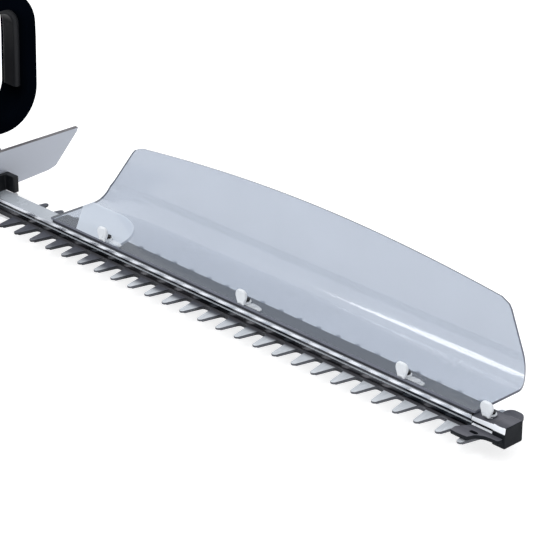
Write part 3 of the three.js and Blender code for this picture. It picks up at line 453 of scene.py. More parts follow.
def blend_colors(nodes, links, factor, first, second):
    blend = nodes.new("ShaderNodeMix")
    blend.data_type = "RGBA"
    links.new(factor, blend.inputs["Factor"])
    for socket, color in ((blend.inputs[6], first), (blend.inputs[7], second)):
        if isinstance(color, tuple):
            socket.default_value = (*color, 1)
        else:
            links.new(color, socket)
    return blend.outputs[2]


RAIL_BRIGHT_FROM_Z = (24.7, 24.9)


def rail_metal():
    """Extruded rail with painted light: a painted highlight along the top of the walls, and painted shade,
    mottled with scuffs, on the walls under it.
    """
    material, nodes, links, shader = new_material("rail_metal")
    shader.inputs["Metallic"].default_value = 1.0
    lines = noise_node(nodes, links, 1500, ALONG_X, detail=3.0)
    # Painted highlight: the upper part of the rail's walls gets a bright colour.
    bright = shade_between(nodes, links, lines.outputs["Fac"], (0.62, 0.645, 0.7), (0.72, 0.75, 0.81))
    scuffs = noise_node(nodes, links, 60, (0.5, 1, 1.6), detail=4.0)
    scuff = scuffs.outputs["Fac"]
    # Painted shade: the walls below get a dark colour, mottled by the scuff noise.
    wall = shade_between(nodes, links, scuff, (0.012, 0.015, 0.02), (0.1, 0.1, 0.11), 0.42, 0.6)
    upper = height_mask(nodes, links, *RAIL_BRIGHT_FROM_Z)
    face = blend_colors(nodes, links, upper, wall, bright)
    facing_up = math_node(nodes, links, "GREATER_THAN", normal_part(nodes, links, "Z"), 0.8)
    links.new(blend_colors(nodes, links, facing_up, face, (0.4, 0.43, 0.47)), shader.inputs["Base Color"])
    links.new(math_node(nodes, links, "SUBTRACT", 1.0, facing_up), shader.inputs["Metallic"])
    wear = noise_node(nodes, links, 40, detail=5.0)
    links.new(value_between(nodes, links, wear.outputs["Fac"], 0.2, 0.32), shader.inputs["Roughness"])
    bump_from(nodes, links, lines.outputs["Fac"], shader, 0.003)
    return material


BLADE_REACH = 30
RAIL_SHADOW_HALF_WIDTH = 11.2
BLADE_LIT_X = (130, 300)
ROOT_DELAY = 850.0  # per metre


def blade_metal():
    """Ground blade steel with painted light: satin faces painted lighter towards the tip and darker towards
    the handle, a painted shadow along the middle under the rail, and dark punched edges with more painted
    shade towards the handle.
    """
    material, nodes, links, shader = new_material("blade_steel")
    place = place_parts(nodes, links)
    off_middle = math_node(nodes, links, "ABSOLUTE", place["Y"])
    lines = noise_node(nodes, links, 1600, (1, 0.06, 1), detail=3.0)
    # The painted light starts further forward at the roots of the teeth than at their tips.
    behind_tip = math_node(nodes, links, "SUBTRACT", BLADE_REACH * MM, off_middle)
    behind_tip = math_node(nodes, links, "MAXIMUM", behind_tip, 0.0)
    delay = math_node(nodes, links, "MULTIPLY", behind_tip, behind_tip)
    delay = math_node(nodes, links, "MULTIPLY", delay, ROOT_DELAY)
    reach = math_node(nodes, links, "SUBTRACT", place["X"], delay)
    lit = mask(nodes, links, reach, *BLADE_LIT_X, "SMOOTHSTEP")
    # Painted shade and painted light: a dark copy of the steel towards the handle and a light copy towards
    # the tip.
    shaded = shade_between(nodes, links, lines.outputs["Fac"], (0.075, 0.08, 0.1), (0.105, 0.11, 0.13))
    lit_steel = shade_between(nodes, links, lines.outputs["Fac"], (0.5, 0.53, 0.57), (0.62, 0.65, 0.69))
    face = blend_colors(nodes, links, lit, shaded, lit_steel)
    # Painted shadow: the middle of the blade, under the rail, gets a dark colour.
    outside_rail_shadow = math_node(nodes, links, "GREATER_THAN", off_middle, RAIL_SHADOW_HALF_WIDTH * MM)
    face = blend_colors(nodes, links, outside_rail_shadow, (0.075, 0.075, 0.085), face)
    # The cut edges are darker than the faces, with more painted shade towards the handle.
    cut = blend_colors(nodes, links, lit, (0.02, 0.022, 0.028), (0.085, 0.09, 0.105))
    up = math_node(nodes, links, "ABSOLUTE", normal_part(nodes, links, "Z"))
    flat = math_node(nodes, links, "GREATER_THAN", up, 0.8)
    links.new(blend_colors(nodes, links, flat, cut, face), shader.inputs["Base Color"])
    shader.inputs["Metallic"].default_value = 0.25
    shader.inputs["Specular IOR Level"].default_value = 0.3
    wear = noise_node(nodes, links, 40, detail=5.0)
    links.new(value_between(nodes, links, wear.outputs["Fac"], 0.32, 0.42), shader.inputs["Roughness"])
    bump_from(nodes, links, lines.outputs["Fac"], shader, 0.002)
    return material


GUARD_EDGE_Z = (62.7, 63.0)


def guard_sheet():
    """The grey sheet of the hand guard, with a dark line along its cut upper edge."""
    material = tinted_sheet("grey_sheet", (0.62, 0.66, 0.74), (0.47, 0.5, 0.57), 0.86)
    nodes, links = material.node_tree.nodes, material.node_tree.links
    shader = nodes["Principled BSDF"]
    color = shader.inputs["Base Color"].links[0].from_socket
    edge = height_mask(nodes, links, *GUARD_EDGE_Z)
    links.new(blend_colors(nodes, links, edge, color, (0.15, 0.14, 0.15)), shader.inputs["Base Color"])
    return material


TIP_NOSE_X = 672
FACET_FROM_Z = (25.4, 25.8)
LEDGE_FROM_Z = (22.0, 22.1)
LEDGE_TO_Z = (22.9, 23.0)
LEDGE_Y = -8.3


def tip_plastic():
    """Glossy black moulding with painted light: the faces that point up are painted lighter, and a painted
    highlight runs along the upper part of its near wall and along the ledge low on that wall.
    """
    material, nodes, links, shader = new_material("tip_plastic")
    marks = noise_node(nodes, links, 90, ALONG_X, detail=5.0)
    black = shade_between(nodes, links, marks.outputs["Fac"], (0.006, 0.008, 0.011), (0.014, 0.016, 0.02))
    # Painted light: the faces that point up get a lighter grey.
    lit_top = shade_between(nodes, links, marks.outputs["Fac"], (0.06, 0.062, 0.075), (0.12, 0.122, 0.14))
    facing_up = math_node(nodes, links, "GREATER_THAN", normal_part(nodes, links, "Z"), 0.7)
    black = blend_colors(nodes, links, facing_up, black, lit_top)
    # Painted highlight: a near-white colour on the upper part of the near wall and on the ledge below it.
    near_facing = math_node(nodes, links, "LESS_THAN", normal_part(nodes, links, "Y"), -0.55)
    upper = height_mask(nodes, links, *FACET_FROM_Z)
    painted_highlight = math_node(nodes, links, "MULTIPLY", near_facing, upper)
    place = place_parts(nodes, links)
    ledge_highlight = math_node(nodes, links, "LESS_THAN", place["Y"], LEDGE_Y * MM)
    ledge_highlight = math_node(nodes, links, "MULTIPLY", ledge_highlight, height_mask(nodes, links, *LEDGE_FROM_Z))
    under = math_node(nodes, links, "SUBTRACT", 1.0, height_mask(nodes, links, *LEDGE_TO_Z))
    ledge_highlight = math_node(nodes, links, "MULTIPLY", ledge_highlight, under)
    behind_nose = math_node(nodes, links, "LESS_THAN", place["X"], TIP_NOSE_X * MM)
    ledge_highlight = math_node(nodes, links, "MULTIPLY", ledge_highlight, behind_nose)
    painted_highlight = math_node(nodes, links, "MAXIMUM", painted_highlight, ledge_highlight)
    links.new(blend_colors(nodes, links, painted_highlight, black, (0.86, 0.89, 0.95)), shader.inputs["Base Color"])
    links.new(value_between(nodes, links, marks.outputs["Fac"], 0.3, 0.42), shader.inputs["Roughness"])
    shader.inputs["Specular IOR Level"].default_value = 0.05
    bump_from(nodes, links, marks.outputs["Fac"], shader, 0.01)
    return material


def painted_reflection_white():
    """A thin white colour that lets some of what is under it show through, for the painted reflection of the
    clip knobs.
    """
    material, nodes, links, shader = new_material("painted_reflection_white")
    marks = noise_node(nodes, links, 200, detail=3.0)
    white = shade_between(nodes, links, marks.outputs["Fac"], (0.7, 0.74, 0.8), (0.85, 0.88, 0.92))
    links.new(white, shader.inputs["Base Color"])
    links.new(value_between(nodes, links, marks.outputs["Fac"], 0.25, 0.35), shader.inputs["Roughness"])
    links.new(value_between(nodes, links, marks.outputs["Fac"], 0.3, 0.42), shader.inputs["Alpha"])
    return material


LOOKS["rail_aluminium"] = rail_metal()
LOOKS["tip_plastic"] = tip_plastic()
LOOKS["painted_reflection_white"] = painted_reflection_white()
LOOKS["blade_steel"] = blade_metal()
# A lighter, nearly opaque patch on the flange round the first clip.
PALE_PATCH = (191, 0.95, 250.5, 40.5, 50.5)
CLEAR_TINT = (0.64, 0.67, 0.72)
CLEAR_SHEEN = (0.62, 0.68, 0.77)
LOOKS["tinted_sheet"] = tinted_sheet("tinted_sheet", CLEAR_TINT, CLEAR_SHEEN, 0.12, PALE_PATCH)
LOOKS["sheet_rim"] = plastic("sheet_rim", (0.14, 0.15, 0.19), 0.3, 500, 0.004, 0.1, 0.2)
LOOKS["grey_sheet"] = guard_sheet()


def finish(piece, body, slot, replaced=(), look=None, edge_look=None):
    """Gives a piece its look and slot, and lets it ride on a body in place of CAD nodes."""
    weighted = piece.modifiers.new("weighted", "WEIGHTED_NORMAL")
    weighted.keep_sharp = True
    mesh = piece.data
    parts = [face.material_index for face in mesh.polygons]
    mesh.materials.clear()
    mesh.materials.append(LOOKS[look or slot])
    if edge_look:
        mesh.materials.append(LOOKS[edge_look])
        mesh.polygons.foreach_set("material_index", parts)
    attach(piece, body)
    if replaced:
        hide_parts(*replaced)
    return piece


def stand_in(piece, node, look=None, edge_look=None):
    """Finishes a piece that takes the place of one CAD node."""
    return finish(piece, BODY_OF[node], SLOT_OF[node], [node], look, edge_look)


def soften(node, width):
    """Keeps a CAD node, with its record slot's look and rounded edges."""
    cad = NODES[node]
    cad.data.materials.clear()
    cad.data.materials.append(LOOKS[SLOT_OF[node]])
    custom = cad.data.attributes.get("custom_normal")
    if custom:
        cad.data.attributes.remove(custom)
    cad.data.polygons.foreach_set("use_smooth", [True] * len(cad.data.polygons))
    weld = cad.modifiers.new("weld", "WELD")
    weld.merge_threshold = 0.00001
    bevel = cad.modifiers.new("bevel", "BEVEL")
    bevel.width = width * MM
    bevel.segments = 2
    bevel.limit_method = "ANGLE"
    bevel.angle_limit = math.radians(35)
    split = cad.modifiers.new("split", "EDGE_SPLIT")
    split.split_angle = math.radians(40)


# ---------------------------------------------------------------- blades
PITCH = 21.5
TEETH = 26
FIRST_TOOTH_X = 120
FAR_SIDE_SHIFT = -8.6
GULLET_HALF_SPAN = 9.5
TIP_WIDTH = 5.6
ROOT_WIDTH = 12.4
UPPER_TOOTH_REACH = 30.5
LOWER_TOOTH_REACH = 26.5
LOWER_TOOTH_INSET = 1.6
BOLT_XS = (104, 276, 368, 484, 612)


def toothed_edge(inset, reach, shift):
    """Teeth with round tips and filleted roots, as (x, distance from the middle)."""
    edge = []
    tip_half = TIP_WIDTH / 2 - inset
    root_half = ROOT_WIDTH / 2 - inset
    steps = 8
    for tooth in range(TEETH):
        x = FIRST_TOOTH_X + shift + tooth * PITCH
        fillet = [(root_half + 2.6, 0), (root_half + 1.3, 0.35), (root_half + 0.5, 1.2), (root_half, 2.4)]
        edge += [(x - a, GULLET_HALF_SPAN + b) for a, b in fillet]
        for step in range(steps + 1):
            angle = math.pi * (1 - step / steps)
            edge.append((x + tip_half * math.cos(angle), reach - tip_half + tip_half * math.sin(angle)))
        edge += [(x + a, GULLET_HALF_SPAN + b) for a, b in reversed(fillet)]
    return edge


def blade(name, inset, reach, bevel):
    low, high = box_mm(name)
    neck = [(low.x, 24), (29, 24), (40, GULLET_HALF_SPAN + 3), (60, GULLET_HALF_SPAN)]
    end = (high.x, GULLET_HALF_SPAN)
    near_side = [(x, -y) for x, y in [*neck, *toothed_edge(inset, reach, 0), end]]
    far_side = [*neck, *toothed_edge(inset, reach, FAR_SIDE_SHIFT), end]
    outline = near_side + list(reversed(far_side))
    window = rectangle(-23, 23, -17.6, 17.6, 4)
    slots = [rectangle(x - 8.6, x + 8.6, -2.9, 2.9, 2.8) for x in BOLT_XS]
    made = plate(name + "_ground", [outline, window, *slots], "z", low.z, high.z, bevel, 2)
    return stand_in(made, name)


blade("upper_blade", 0, UPPER_TOOTH_REACH, 0.25)
blade("lower_blade", LOWER_TOOTH_INSET, LOWER_TOOTH_REACH, 0.2)


# ---------------------------------------------------------------- rail
RAIL_END_X = 650


def rail():
    low, high = box_mm("blade_rail")
    top = high.z
    half = [
        (8, low.z, 0.4),
        (8, top - 6.4, 0.4),
        (6.5, top - 5.9, 0.4),
        (6.5, top - 3.6, 0.4),
        (8, top - 3.2, 0.3),
        (8, top, 0.7),
    ]
    body = plate("rail_body", [rounded(mirrored(half), 4)], "x", low.x, RAIL_END_X)
    tongue = block("rail_tongue", RAIL_END_X - 4, high.x, -5, 5, 20, 26, 0.8, 0.4)
    return stand_in(join("blade_rail_extrusion", [body, tongue]), "blade_rail")


rail()


# ---------------------------------------------------------------- tip guard
TIP_KNOB_PLACE = (662.5, -0.5)


def tip_guard():
    low, high = box_mm("tip_guard")
    top = high.z
    rear_x = 652
    cover_section = [
        (-10, 18.7, 0.4),
        (9.8, 18.7, 0.4),
        (10, top, 2.6),
        (-9.4, top, 1.3),
        (-10, top - 5.0, 0.7),
        (-8.4, top - 5.9, 0.4),
        (-8.4, 22.9, 0.4),
        (-9.9, 22.1, 0.4),
    ]
    nose_section = [
        (-10.2, low.z, 1.4),
        (10, low.z, 1.4),
        (10, top, 2.6),
        (-9.4, top, 1.6),
        (-10.8, 22, 2),
    ]
    near_fin = [
        (683, -9, 0.5),
        (682.5, -15.6, 2),
        (676.5, -15.6, 9),
        (670.5, -16.4, 8),
        (664.4, -20, 5),
        (662.2, low.y + 0.7, 1.6),
        (654, low.y, 3),
        (646, low.y + 0.2, 1.5),
        (645, -20, 3),
        (653, -9, 1),
    ]
    far_fin = [
        (655, 9, 0.5),
        (655, high.y, 6),
        (668.5, high.y, 7.5),
        (676, 18, 5),
        (678, 9, 0.5),
    ]
    drain = rounded([(657.5, -19, 1.4), (664.5, -19, 1.4), (664.5, -16, 1.4), (657.5, -16, 1.4)], 4)
    above = [(rear_x - 2, top - 1.9), (high.x + 1, top), (high.x + 1, top + 6), (rear_x - 2, top + 6)]
    moulding = plate("tip_guard_moulding", [rounded(cover_section, 4)], "x", rear_x, high.x - 1, 0)
    combine(moulding, plate("above", [above], "y", -20, 20))
    combine(moulding, rod("seat", "z", *TIP_KNOB_PLACE, 27, 30.2, 4.4, 0.4), "UNION")
    combine(moulding, plate("near_fin", [rounded(near_fin, 6), drain], "z", 18.6, 22, 0.6), "UNION")
    combine(moulding, plate("far_fin", [rounded(far_fin, 8)], "z", 18.6, 22, 0.6), "UNION")
    combine(moulding, plate("nose", [rounded(nose_section, 5)], "x", TIP_NOSE_X, high.x, 0.9), "UNION")
    return stand_in(smooth_by_angle(moulding, 40), "tip_guard", "tip_plastic")


tip_guard()

# ---------------------------------------------------------------- collector
SHEET = 2.0
BEND_START_Y = 39.7
BEND_RADIUS = 23.0
LEAN = math.radians(15)
FLANGE_NEAR_Y = -8.0


def collector_profile():
    """Points (y, z above the flange's upper face) along the flange and round the bend."""
    turn = math.pi / 2 - LEAN
    points = [(FLANGE_NEAR_Y + (BEND_START_Y - FLANGE_NEAR_Y) * i / 8, 0) for i in range(8)]
    steps = 28
    for i in range(steps + 1):
        angle = turn * i / steps
        points.append((BEND_START_Y + BEND_RADIUS * math.sin(angle), BEND_RADIUS * (1 - math.cos(angle))))
    return points


END_SLANT = 34.5
MIDDLE_SLANT = 45.5
BACK_TAPER = 0.57
BACK_TAPER_START = 10
FRONT_TAPER = 0.7
FRONT_ROUNDING = 4.5


def collector_sheet():
    """The bent sheet. Its wall rises highest at mid length, and its two ends are cut back as it rises."""
    low, high = box_mm("collector_sheet")
    flat_part = collector_profile()
    wall_rows = 10
    columns = 120
    points = []
    for row in range(len(flat_part) + wall_rows):
        up_wall = max(0, row - len(flat_part) + 1) / wall_rows
        y_bend, z_bend = flat_part[min(row, len(flat_part) - 1)]
        for column in range(columns + 1):
            along = column / columns
            slant = up_wall * (END_SLANT + (MIDDLE_SLANT - END_SLANT) * 4 * along * (1 - along))
            y = y_bend + slant * math.sin(LEAN)
            z = z_bend + slant * math.cos(LEAN)
            corner = 7 * (max(0.0, up_wall - 0.8) / 0.2) ** 3
            back = low.x + BACK_TAPER * max(0.0, z - BACK_TAPER_START) + corner
            front = high.x - FRONT_TAPER * z - FRONT_ROUNDING * (1 - math.exp(-z / 4)) - corner
            points.append(Vector((back + (front - back) * along, y, low.z + SHEET + z)) * MM)
    faces = []
    width = columns + 1
    for row in range(len(flat_part) + wall_rows - 1):
        for column in range(columns):
            start = row * width + column
            faces.append((start, start + 1, start + 1 + width, start + width))
    mesh = bpy.data.meshes.new("collector")
    mesh.from_pydata(points, [], faces)
    sheet = new_object("collector_bent_sheet", mesh)
    mesh.materials.append(LOOKS["tinted_sheet"])
    mesh.materials.append(LOOKS["sheet_rim"])
    thick = sheet.modifiers.new("thickness", "SOLIDIFY")
    thick.thickness = SHEET * MM
    thick.offset = -1
    thick.material_offset_rim = 1
    apply_modifiers(sheet)
    return smooth_by_angle(sheet, 40)


stand_in(collector_sheet(), "collector_sheet", edge_look="sheet_rim")


def mount_bar():
    low, high = box_mm("collector_mount_bar")
    outline = rectangle(low.x, high.x, low.y, high.y, 1.5)
    return stand_in(plate("mount_bar_strip", [outline], "z", low.z, high.z, 0.35), "collector_mount_bar")


mount_bar()

STUD_Y = -3
CLIP_XS = {"collector_clip_1": 234.4, "collector_clip_2": 405.2, "collector_clip_3": 580.4}


def knob(node, x, y):
    """A turn knob: a waisted thumb tab on a round collar."""
    low, high = box_mm(node)
    seat = low.z
    top = high.z
    tab_outline = [
        (x - 3.2, seat, 0.5),
        (x + 3.2, seat, 0.5),
        (x + 4.6, seat + 3.4, 5),
        (x + 5.9, seat + 7.0, 5),
        (x + 5.2, top, 4.2),
        (x - 5.2, top, 4.2),
        (x - 5.9, seat + 7.0, 5),
        (x - 4.6, seat + 3.4, 5),
    ]
    tab = plate("tab", [rounded(tab_outline, 6)], "y", y - 7, y - 3.5, 1.4, 5)
    collar = rod("collar", "z", x, y, seat, seat + 1.2, 4.2, 0.4)
    for across in (-3.6, -1.8, 0, 1.8, 3.6):
        combine(tab, rod("ridge_groove", "z", x + across, y - 7.15, seat + 3.5, top + 1, 0.55, 0, 12))
    combine(tab, collar, "UNION")
    tab.name = node + "_moulding"
    return stand_in(smooth_by_angle(tab), node)


def knob_reflection(node, x):
    """A thin white crescent on the sheet beside a collector clip's knob: a painted reflection of the knob."""
    seat = box_mm(node)[0].z
    near = STUD_Y - 4.8
    outline = [
        (x + 3, near, 0.3),
        (x + 20, near, 1),
        (x + 21, near + 3.2, 2.2),
        (x + 13, near + 5.6, 12),
        (x + 6, near + 6.1, 6),
        (x + 3.6, near + 2.4, 0.3),
    ]
    # Painted reflection: a thin white crescent where the knob shows in the sheet.
    reflection_crescent = plate(node + "_foot", [rounded(outline, 6)], "z", seat, seat + 1.2, 0.4)
    return finish(reflection_crescent, BODY_OF[node], SLOT_OF[node], look="painted_reflection_white")


for node, x in CLIP_XS.items():
    knob(node, x, STUD_Y)
    knob_reflection(node, x)
knob("tip_guard_knob", *TIP_KNOB_PLACE)


# ---------------------------------------------------------------- hand guard
def hand_guard():
    low, high = box_mm("hand_guard")
    half = [
        (12, low.z, 1),
        (32, 29.3, 7),
        (60, 31.0, 5),
        (68.5, 33.1, 6),
        (94.5, 59.6, 2.5),
        (high.y, high.z, 0.6),
    ]
    face = plate("guard_face", [rounded(mirrored(half), 6)], "x", 74.5, high.x, 0.7)
    lip = plate("guard_lip", [rectangle(-95.8, 95.8, high.z - 2, high.z, 0.6)], "x", low.x, 75.2, 0.4)
    combine(face, lip, "UNION")
    return stand_in(smooth_by_angle(face), "hand_guard")


hand_guard()


def guard_bracket():
    """A saddle over the rail: a plate behind and a leg on each side."""
    low, high = box_mm("guard_bracket")
    leg_inside = 7.6
    outline = [
        (low.x, low.y, 1),
        (high.x, low.y, 1.2),
        (high.x, -leg_inside, 1.2),
        (low.x + 4, -leg_inside, 1.5),
        (low.x + 4, leg_inside, 1.5),
        (high.x, leg_inside, 1.2),
        (high.x, high.y, 1.2),
        (low.x, high.y, 1),
    ]
    saddle = plate("guard_bracket_moulding", [rounded(outline, 5)], "z", low.z, high.z, 0.6)
    return stand_in(saddle, "guard_bracket")


guard_bracket()


# ---------------------------------------------------------------- front bow
BOW_THICKNESS = 16
SWITCH_BAR_INSETS = (13, 21)
CHANNEL_X = (7, 27)
bow_low, bow_high = box_mm("front_handle")


def bow_loop(inset):
    """The bow's outer line in (y, z), moved in by an inset. Every loop has the same number of points."""
    half = [
        (85.5 - inset, bow_low.z + inset, 40 - inset),
        (88 - inset, 140, 0),
        (88 - inset, bow_high.z - inset, 34 - inset),
    ]
    return rounded(mirrored(half), 14)


def front_bow():
    bow = swept("bow_moulding", bow_loop, rectangle(0, BOW_THICKNESS, bow_low.x, bow_high.x, 5.5, 7))
    combine(bow, block("body_space", -10, 40, -36.3, 36.3, 40, 121))
    channel = swept("channel", bow_loop, rectangle(7, BOW_THICKNESS + 1.5, *CHANNEL_X))
    combine(channel, block("above_ends", -10, 40, -120, 120, 95, 260), "INTERSECT")
    combine(bow, channel)
    smooth_by_angle(bow)
    return stand_in(bow, "front_handle", "bow_plastic")


def switch_bar():
    low, high = box_mm("front_switch_bar")
    bar = swept("switch_bar_moulding", bow_loop, rectangle(*SWITCH_BAR_INSETS, low.x, high.x, 3, 5))
    combine(bar, block("above_ends", -10, 40, -120, 120, low.z, 260), "INTERSECT")
    smooth_by_angle(bar)
    return stand_in(bar, "front_switch_bar")


front_bow()
switch_bar()

# ---------------------------------------------------------------- motor housing and rear grip
BODY_HALF_WIDTH = 36
GRIP_HALF_WIDTH = 19
DOCK_HALF_WIDTH = 38
WALL = 3
BODY_TOP_Z = 121
GRIP_TOP_Z = 113
GRIP_BOTTOM_Z = 81
DOCK_X = -318
HANDLE_SCREW = (14, 65)
HOUSING_SCREWS = [(28, 92), (-74, 40), (-90, 95), (-285, 30)]


def body_outline(inset):
    return rounded([
        (71 - inset, 24 - inset, 8),
        (71 - inset, 48 - inset, 9),
        (41 - inset, 48 - inset, 6),
        (40 - inset, 108 - inset, 12),
        (14, BODY_TOP_Z - inset, 18),
        (-66, BODY_TOP_Z - inset, 10),
        (-84 + inset, 102 - inset, 10),
        (-84 + inset, 24 - inset, 8),
    ], 8)


def grip_outlines():
    outer = [
        (-60, 26, 8),
        (-60, 118, 8),
        (-110, 113, 20),
        (-250, 109, 20),
        (DOCK_X, 107, 8),
        (DOCK_X, 6, 8),
        (-250, 6, 20),
        (-150, 12, 30),
        (-100, 24, 20),
    ]
    opening = [(-104, 50, 14), (-108, 81, 10), (-270, 75, 16), (-276, 36, 16)]
    return [rounded(outer, 8), rounded(opening, 8)]


def whole_housing():
    """The hollow housing in one piece, with every opening, before it is cut into halves."""
    shell = plate("shell", [body_outline(0)], "y", -BODY_HALF_WIDTH, BODY_HALF_WIDTH, 7, 6)
    combine(shell, plate("grip", grip_outlines(), "y", -GRIP_HALF_WIDTH, GRIP_HALF_WIDTH, 7, 6), "UNION")
    dock = rounded([(DOCK_X, 4, 6), (-298, 4, 10), (-292, 60, 20), (-298, 107, 10), (DOCK_X, 107, 6)], 8)
    combine(shell, plate("dock", [dock], "y", -DOCK_HALF_WIDTH, DOCK_HALF_WIDTH, 4, 5), "UNION")
    inside = BODY_HALF_WIDTH - WALL
    combine(shell, plate("chamber", [body_outline(WALL)], "y", -inside, inside, 5, 3))
    combine(shell, block("gearbox_room", -48, 90, -31.3, 31.3, 0, 44.3))
    grip_inside = GRIP_HALF_WIDTH - WALL
    room = block("grip_room", -296, -70, -grip_inside, grip_inside, GRIP_BOTTOM_Z + 5, GRIP_TOP_Z - 8)
    combine(shell, room)
    combine(shell, block("dock_room", -312, -298, -30, 30, 12, GRIP_TOP_Z - 16))
    combine(shell, block("trigger_slot", -172, -112, -7.6, 7.6, 70, GRIP_BOTTOM_Z + 8))
    combine(shell, block("lock_hole", -126, -106, -6.5, 6.5, GRIP_TOP_Z - 12, 130))
    for slot in range(5):
        x = -62 + 11 * slot
        vent = rounded([(x - 3, 62, 1.8), (x + 1, 62, 1.8), (x + 7, 94, 1.8), (x + 3, 94, 1.8)], 4)
        combine(shell, plate("vent", [vent], "y", -60, 60))
    return shell


def housing_half(shell, node, side):
    """One half of the housing, with a seam line, sunk screw seats and the hole for the front handle's screw.
    """
    half = new_object(node + "_shell", shell.data.copy())
    for x, z in HOUSING_SCREWS:
        reach = GRIP_HALF_WIDTH if x < -80 else BODY_HALF_WIDTH
        combine(half, rod("boss", "y", x, z, -reach + 2, reach - 2, 4.6, 0, 24), "UNION")
        combine(half, rod("bore", "y", x, z, -60, reach - 6, 2.1, 0, 24))
        combine(half, rod("screw_seat", "y", x, z, -60, -reach + 5, 3.9, 0, 24))
    low, high = (0.35, 200) if side > 0 else (-200, -0.35)
    combine(half, block("this_side", -500, 200, low, high, -10, 300), "INTERSECT")
    combine(half, rod("handle_screw_hole", "y", *HANDLE_SCREW, -60, 60, 2.3, 0, 24))
    smooth_by_angle(half, 30)
    return stand_in(half, node)


def side_stripe(name, side):
    """A thin raised stripe along one flank of the housing."""
    outline = [
        (60, 30, 3),
        (60, 38, 3),
        (30, 41, 4),
        (-20, 50, 20),
        (-76, 52, 3),
        (-76, 46, 3),
        (-20, 42, 20),
        (28, 32, 4),
    ]
    low, high = sorted((side * (BODY_HALF_WIDTH - 0.4), side * (BODY_HALF_WIDTH + 0.7)))
    stripe = plate(name, [rounded(outline, 6)], "y", low, high, 0.5, 3)
    return finish(stripe, BODY_OF["housing_left"], "accent_plastic")


def grip_pad(name, side):
    """A soft rubber inlay on the side of the rear grip, with grooves across it."""
    outline = rounded([(-128, 88, 5), (-130, 108, 6), (-250, 104, 8), (-262, 84, 8), (-190, 85, 20)], 8)
    low, high = sorted((side * (GRIP_HALF_WIDTH - 1.5), side * (GRIP_HALF_WIDTH + 0.9)))
    pad = plate(name, [outline], "y", low, high, 0.8, 4)
    for groove in range(14):
        x = -140 - 8.4 * groove
        line = [(x - 3, 82), (x - 1.6, 82), (x + 3.4, 112), (x + 2, 112)]
        low, high = sorted((side * (GRIP_HALF_WIDTH + 0.3), side * (GRIP_HALF_WIDTH + 3)))
        combine(pad, plate("groove", [line], "y", low, high))
    return finish(smooth_by_angle(pad), BODY_OF["housing_left"], "black_plastic", look="soft_rubber")


shell = whole_housing()
housing_half(shell, "housing_left", 1)
housing_half(shell, "housing_right", -1)
bpy.data.objects.remove(shell)
for side, label in ((1, "left"), (-1, "right")):
    grip_pad("grip_pad_" + label, side)
    side_stripe("side_stripe_" + label, side)


# ---------------------------------------------------------------- battery details
def battery_details():
    """Raised ribs on the sides of the pack, and a charge display of four lamps on its back."""
    low, high = box_mm("battery_pack")
    body = BODY_OF["battery_pack"]
    for side in (1, -1):
        for rib in range(4):
            z = 18 + 8 * rib
            face = side * high.y
            near, far = sorted((face - 0.6 * side, face + 0.9 * side))
            outline = rectangle(low.x + 14, high.x - 12, z, z + 3.2, 1.5)
            piece = plate(f"pack_rib_{rib}_{side}", [outline], "y", near, far, 0.6, 3)
            finish(piece, body, SLOT_OF["battery_pack"])
    panel = plate("charge_panel", [rectangle(-17, 17, 40, 54, 4)], "x", low.x - 0.5, low.x + 1, 0.4, 3)
    finish(panel, body, "black_plastic")
    for lamp in range(4):
        y = -9 + 6 * lamp
        light = rod(f"charge_lamp_{lamp}", "x", y, 47, low.x - 1.0, low.x, 1.6, 0.3, 20)
        finish(light, body, "circuit_board", look="lamp_green")


battery_details()

# ---------------------------------------------------------------- CAD nodes that keep their shape
EDGE_WIDTHS = {"battery_pack": 1.2}
for node in NODES:
    if not NODES[node].hide_render:
        soften(node, EDGE_WIDTHS.get(node, 0.35))


# ---------------------------------------------------------------- stage, light and camera
def floor():
    mesh = bpy.data.meshes.new("floor")
    half = 12.0
    corners = [(-half, -half, 0), (half, -half, 0), (half, half, 0), (-half, half, 0)]
    mesh.from_pydata(corners, [], [(0, 1, 2, 3)])
    plane = new_object("floor", mesh)
    material, nodes, links, shader = new_material("floor_paint")
    patches = noise_node(nodes, links, 3)
    pale = shade_between(nodes, links, patches.outputs["Fac"], (0.52, 0.52, 0.52), (0.56, 0.56, 0.56))
    links.new(pale, shader.inputs["Base Color"])
    shader.inputs["Roughness"].default_value = 0.9
    shader.inputs["Specular IOR Level"].default_value = 0.1
    shader.inputs["Emission Color"].default_value = (1, 1, 1, 1)
    shader.inputs["Emission Strength"].default_value = 0.7
    plane.data.materials.append(material)
    plane.location.z = -0.0005


floor()


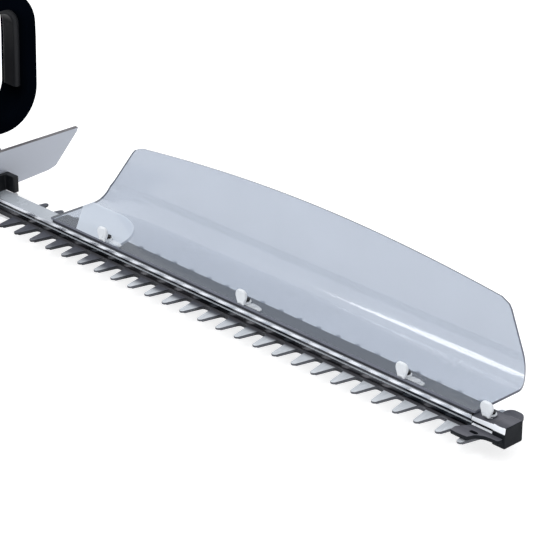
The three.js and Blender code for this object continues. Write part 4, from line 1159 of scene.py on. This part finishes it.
def world():
    """A white studio: bright overhead, with a darker band round the horizon that gloss can show."""
    sky = bpy.data.worlds.new("studio")
    bpy.context.scene.world = sky
    sky.use_nodes = True
    nodes, links = sky.node_tree.nodes, sky.node_tree.links
    background = nodes["Background"]
    place = nodes.new("ShaderNodeTexCoord")
    split = nodes.new("ShaderNodeSeparateXYZ")
    links.new(place.outputs["Generated"], split.inputs["Vector"])
    band = nodes.new("ShaderNodeMapRange")
    band.interpolation_type = "SMOOTHSTEP"
    band.inputs["From Min"].default_value = math.sin(math.radians(20.0))
    band.inputs["From Max"].default_value = math.sin(math.radians(27.0))
    band.inputs["To Min"].default_value = 0.12
    band.inputs["To Max"].default_value = 1.25
    links.new(split.outputs["Z"], band.inputs["Value"])
    links.new(band.outputs["Result"], background.inputs["Strength"])
    background.inputs["Color"].default_value = (0.98, 0.99, 1.0, 1)


world()


def soft_box(name, place, target, width, height, radiance):
    """A rectangular soft light of even radiance that faces a target."""
    lamp = bpy.data.lights.new(name, "AREA")
    lamp.shape = "RECTANGLE"
    lamp.size = width
    lamp.size_y = height
    lamp.energy = radiance * math.pi * width * height
    holder = bpy.data.objects.new(name, lamp)
    bpy.context.scene.collection.objects.link(holder)
    holder.location = place
    aim = (Vector(target) - Vector(place)).normalized()
    holder.rotation_euler = aim.to_track_quat("-Z", "Y").to_euler()
    holder.visible_camera = False
    return holder


BEND_LIGHT_DIRECTION = Vector((-0.585, -0.165, 0.794))
bend_middle = Vector((0.575, 0.05, 0.045))
soft_box("bend_light", bend_middle + 2.0 * BEND_LIGHT_DIRECTION, bend_middle, 0.6, 0.28, 12.0)
soft_box("key_light", (0.9, -1.6, 2.4), (0.25, 0, 0.03), 1.6, 1.2, 1.6)

CAMERA_PLACE = Vector((1.6390, -1.1559, 0.8403))
CAMERA_FORWARD = Vector((-0.6564, 0.6273, -0.4190))
SENSOR = 36.0
FOCAL_IN_IMAGE_WIDTHS = 4.3519


def camera():
    lens = bpy.data.cameras.new("camera")
    lens.sensor_width = SENSOR
    lens.lens = SENSOR * FOCAL_IN_IMAGE_WIDTHS
    lens.clip_end = 60
    holder = bpy.data.objects.new("camera", lens)
    bpy.context.scene.collection.objects.link(holder)
    holder.location = CAMERA_PLACE
    holder.rotation_euler = CAMERA_FORWARD.to_track_quat("-Z", "Y").to_euler()
    bpy.context.scene.camera = holder


camera()
bpy.context.scene.view_settings.view_transform = "Standard"
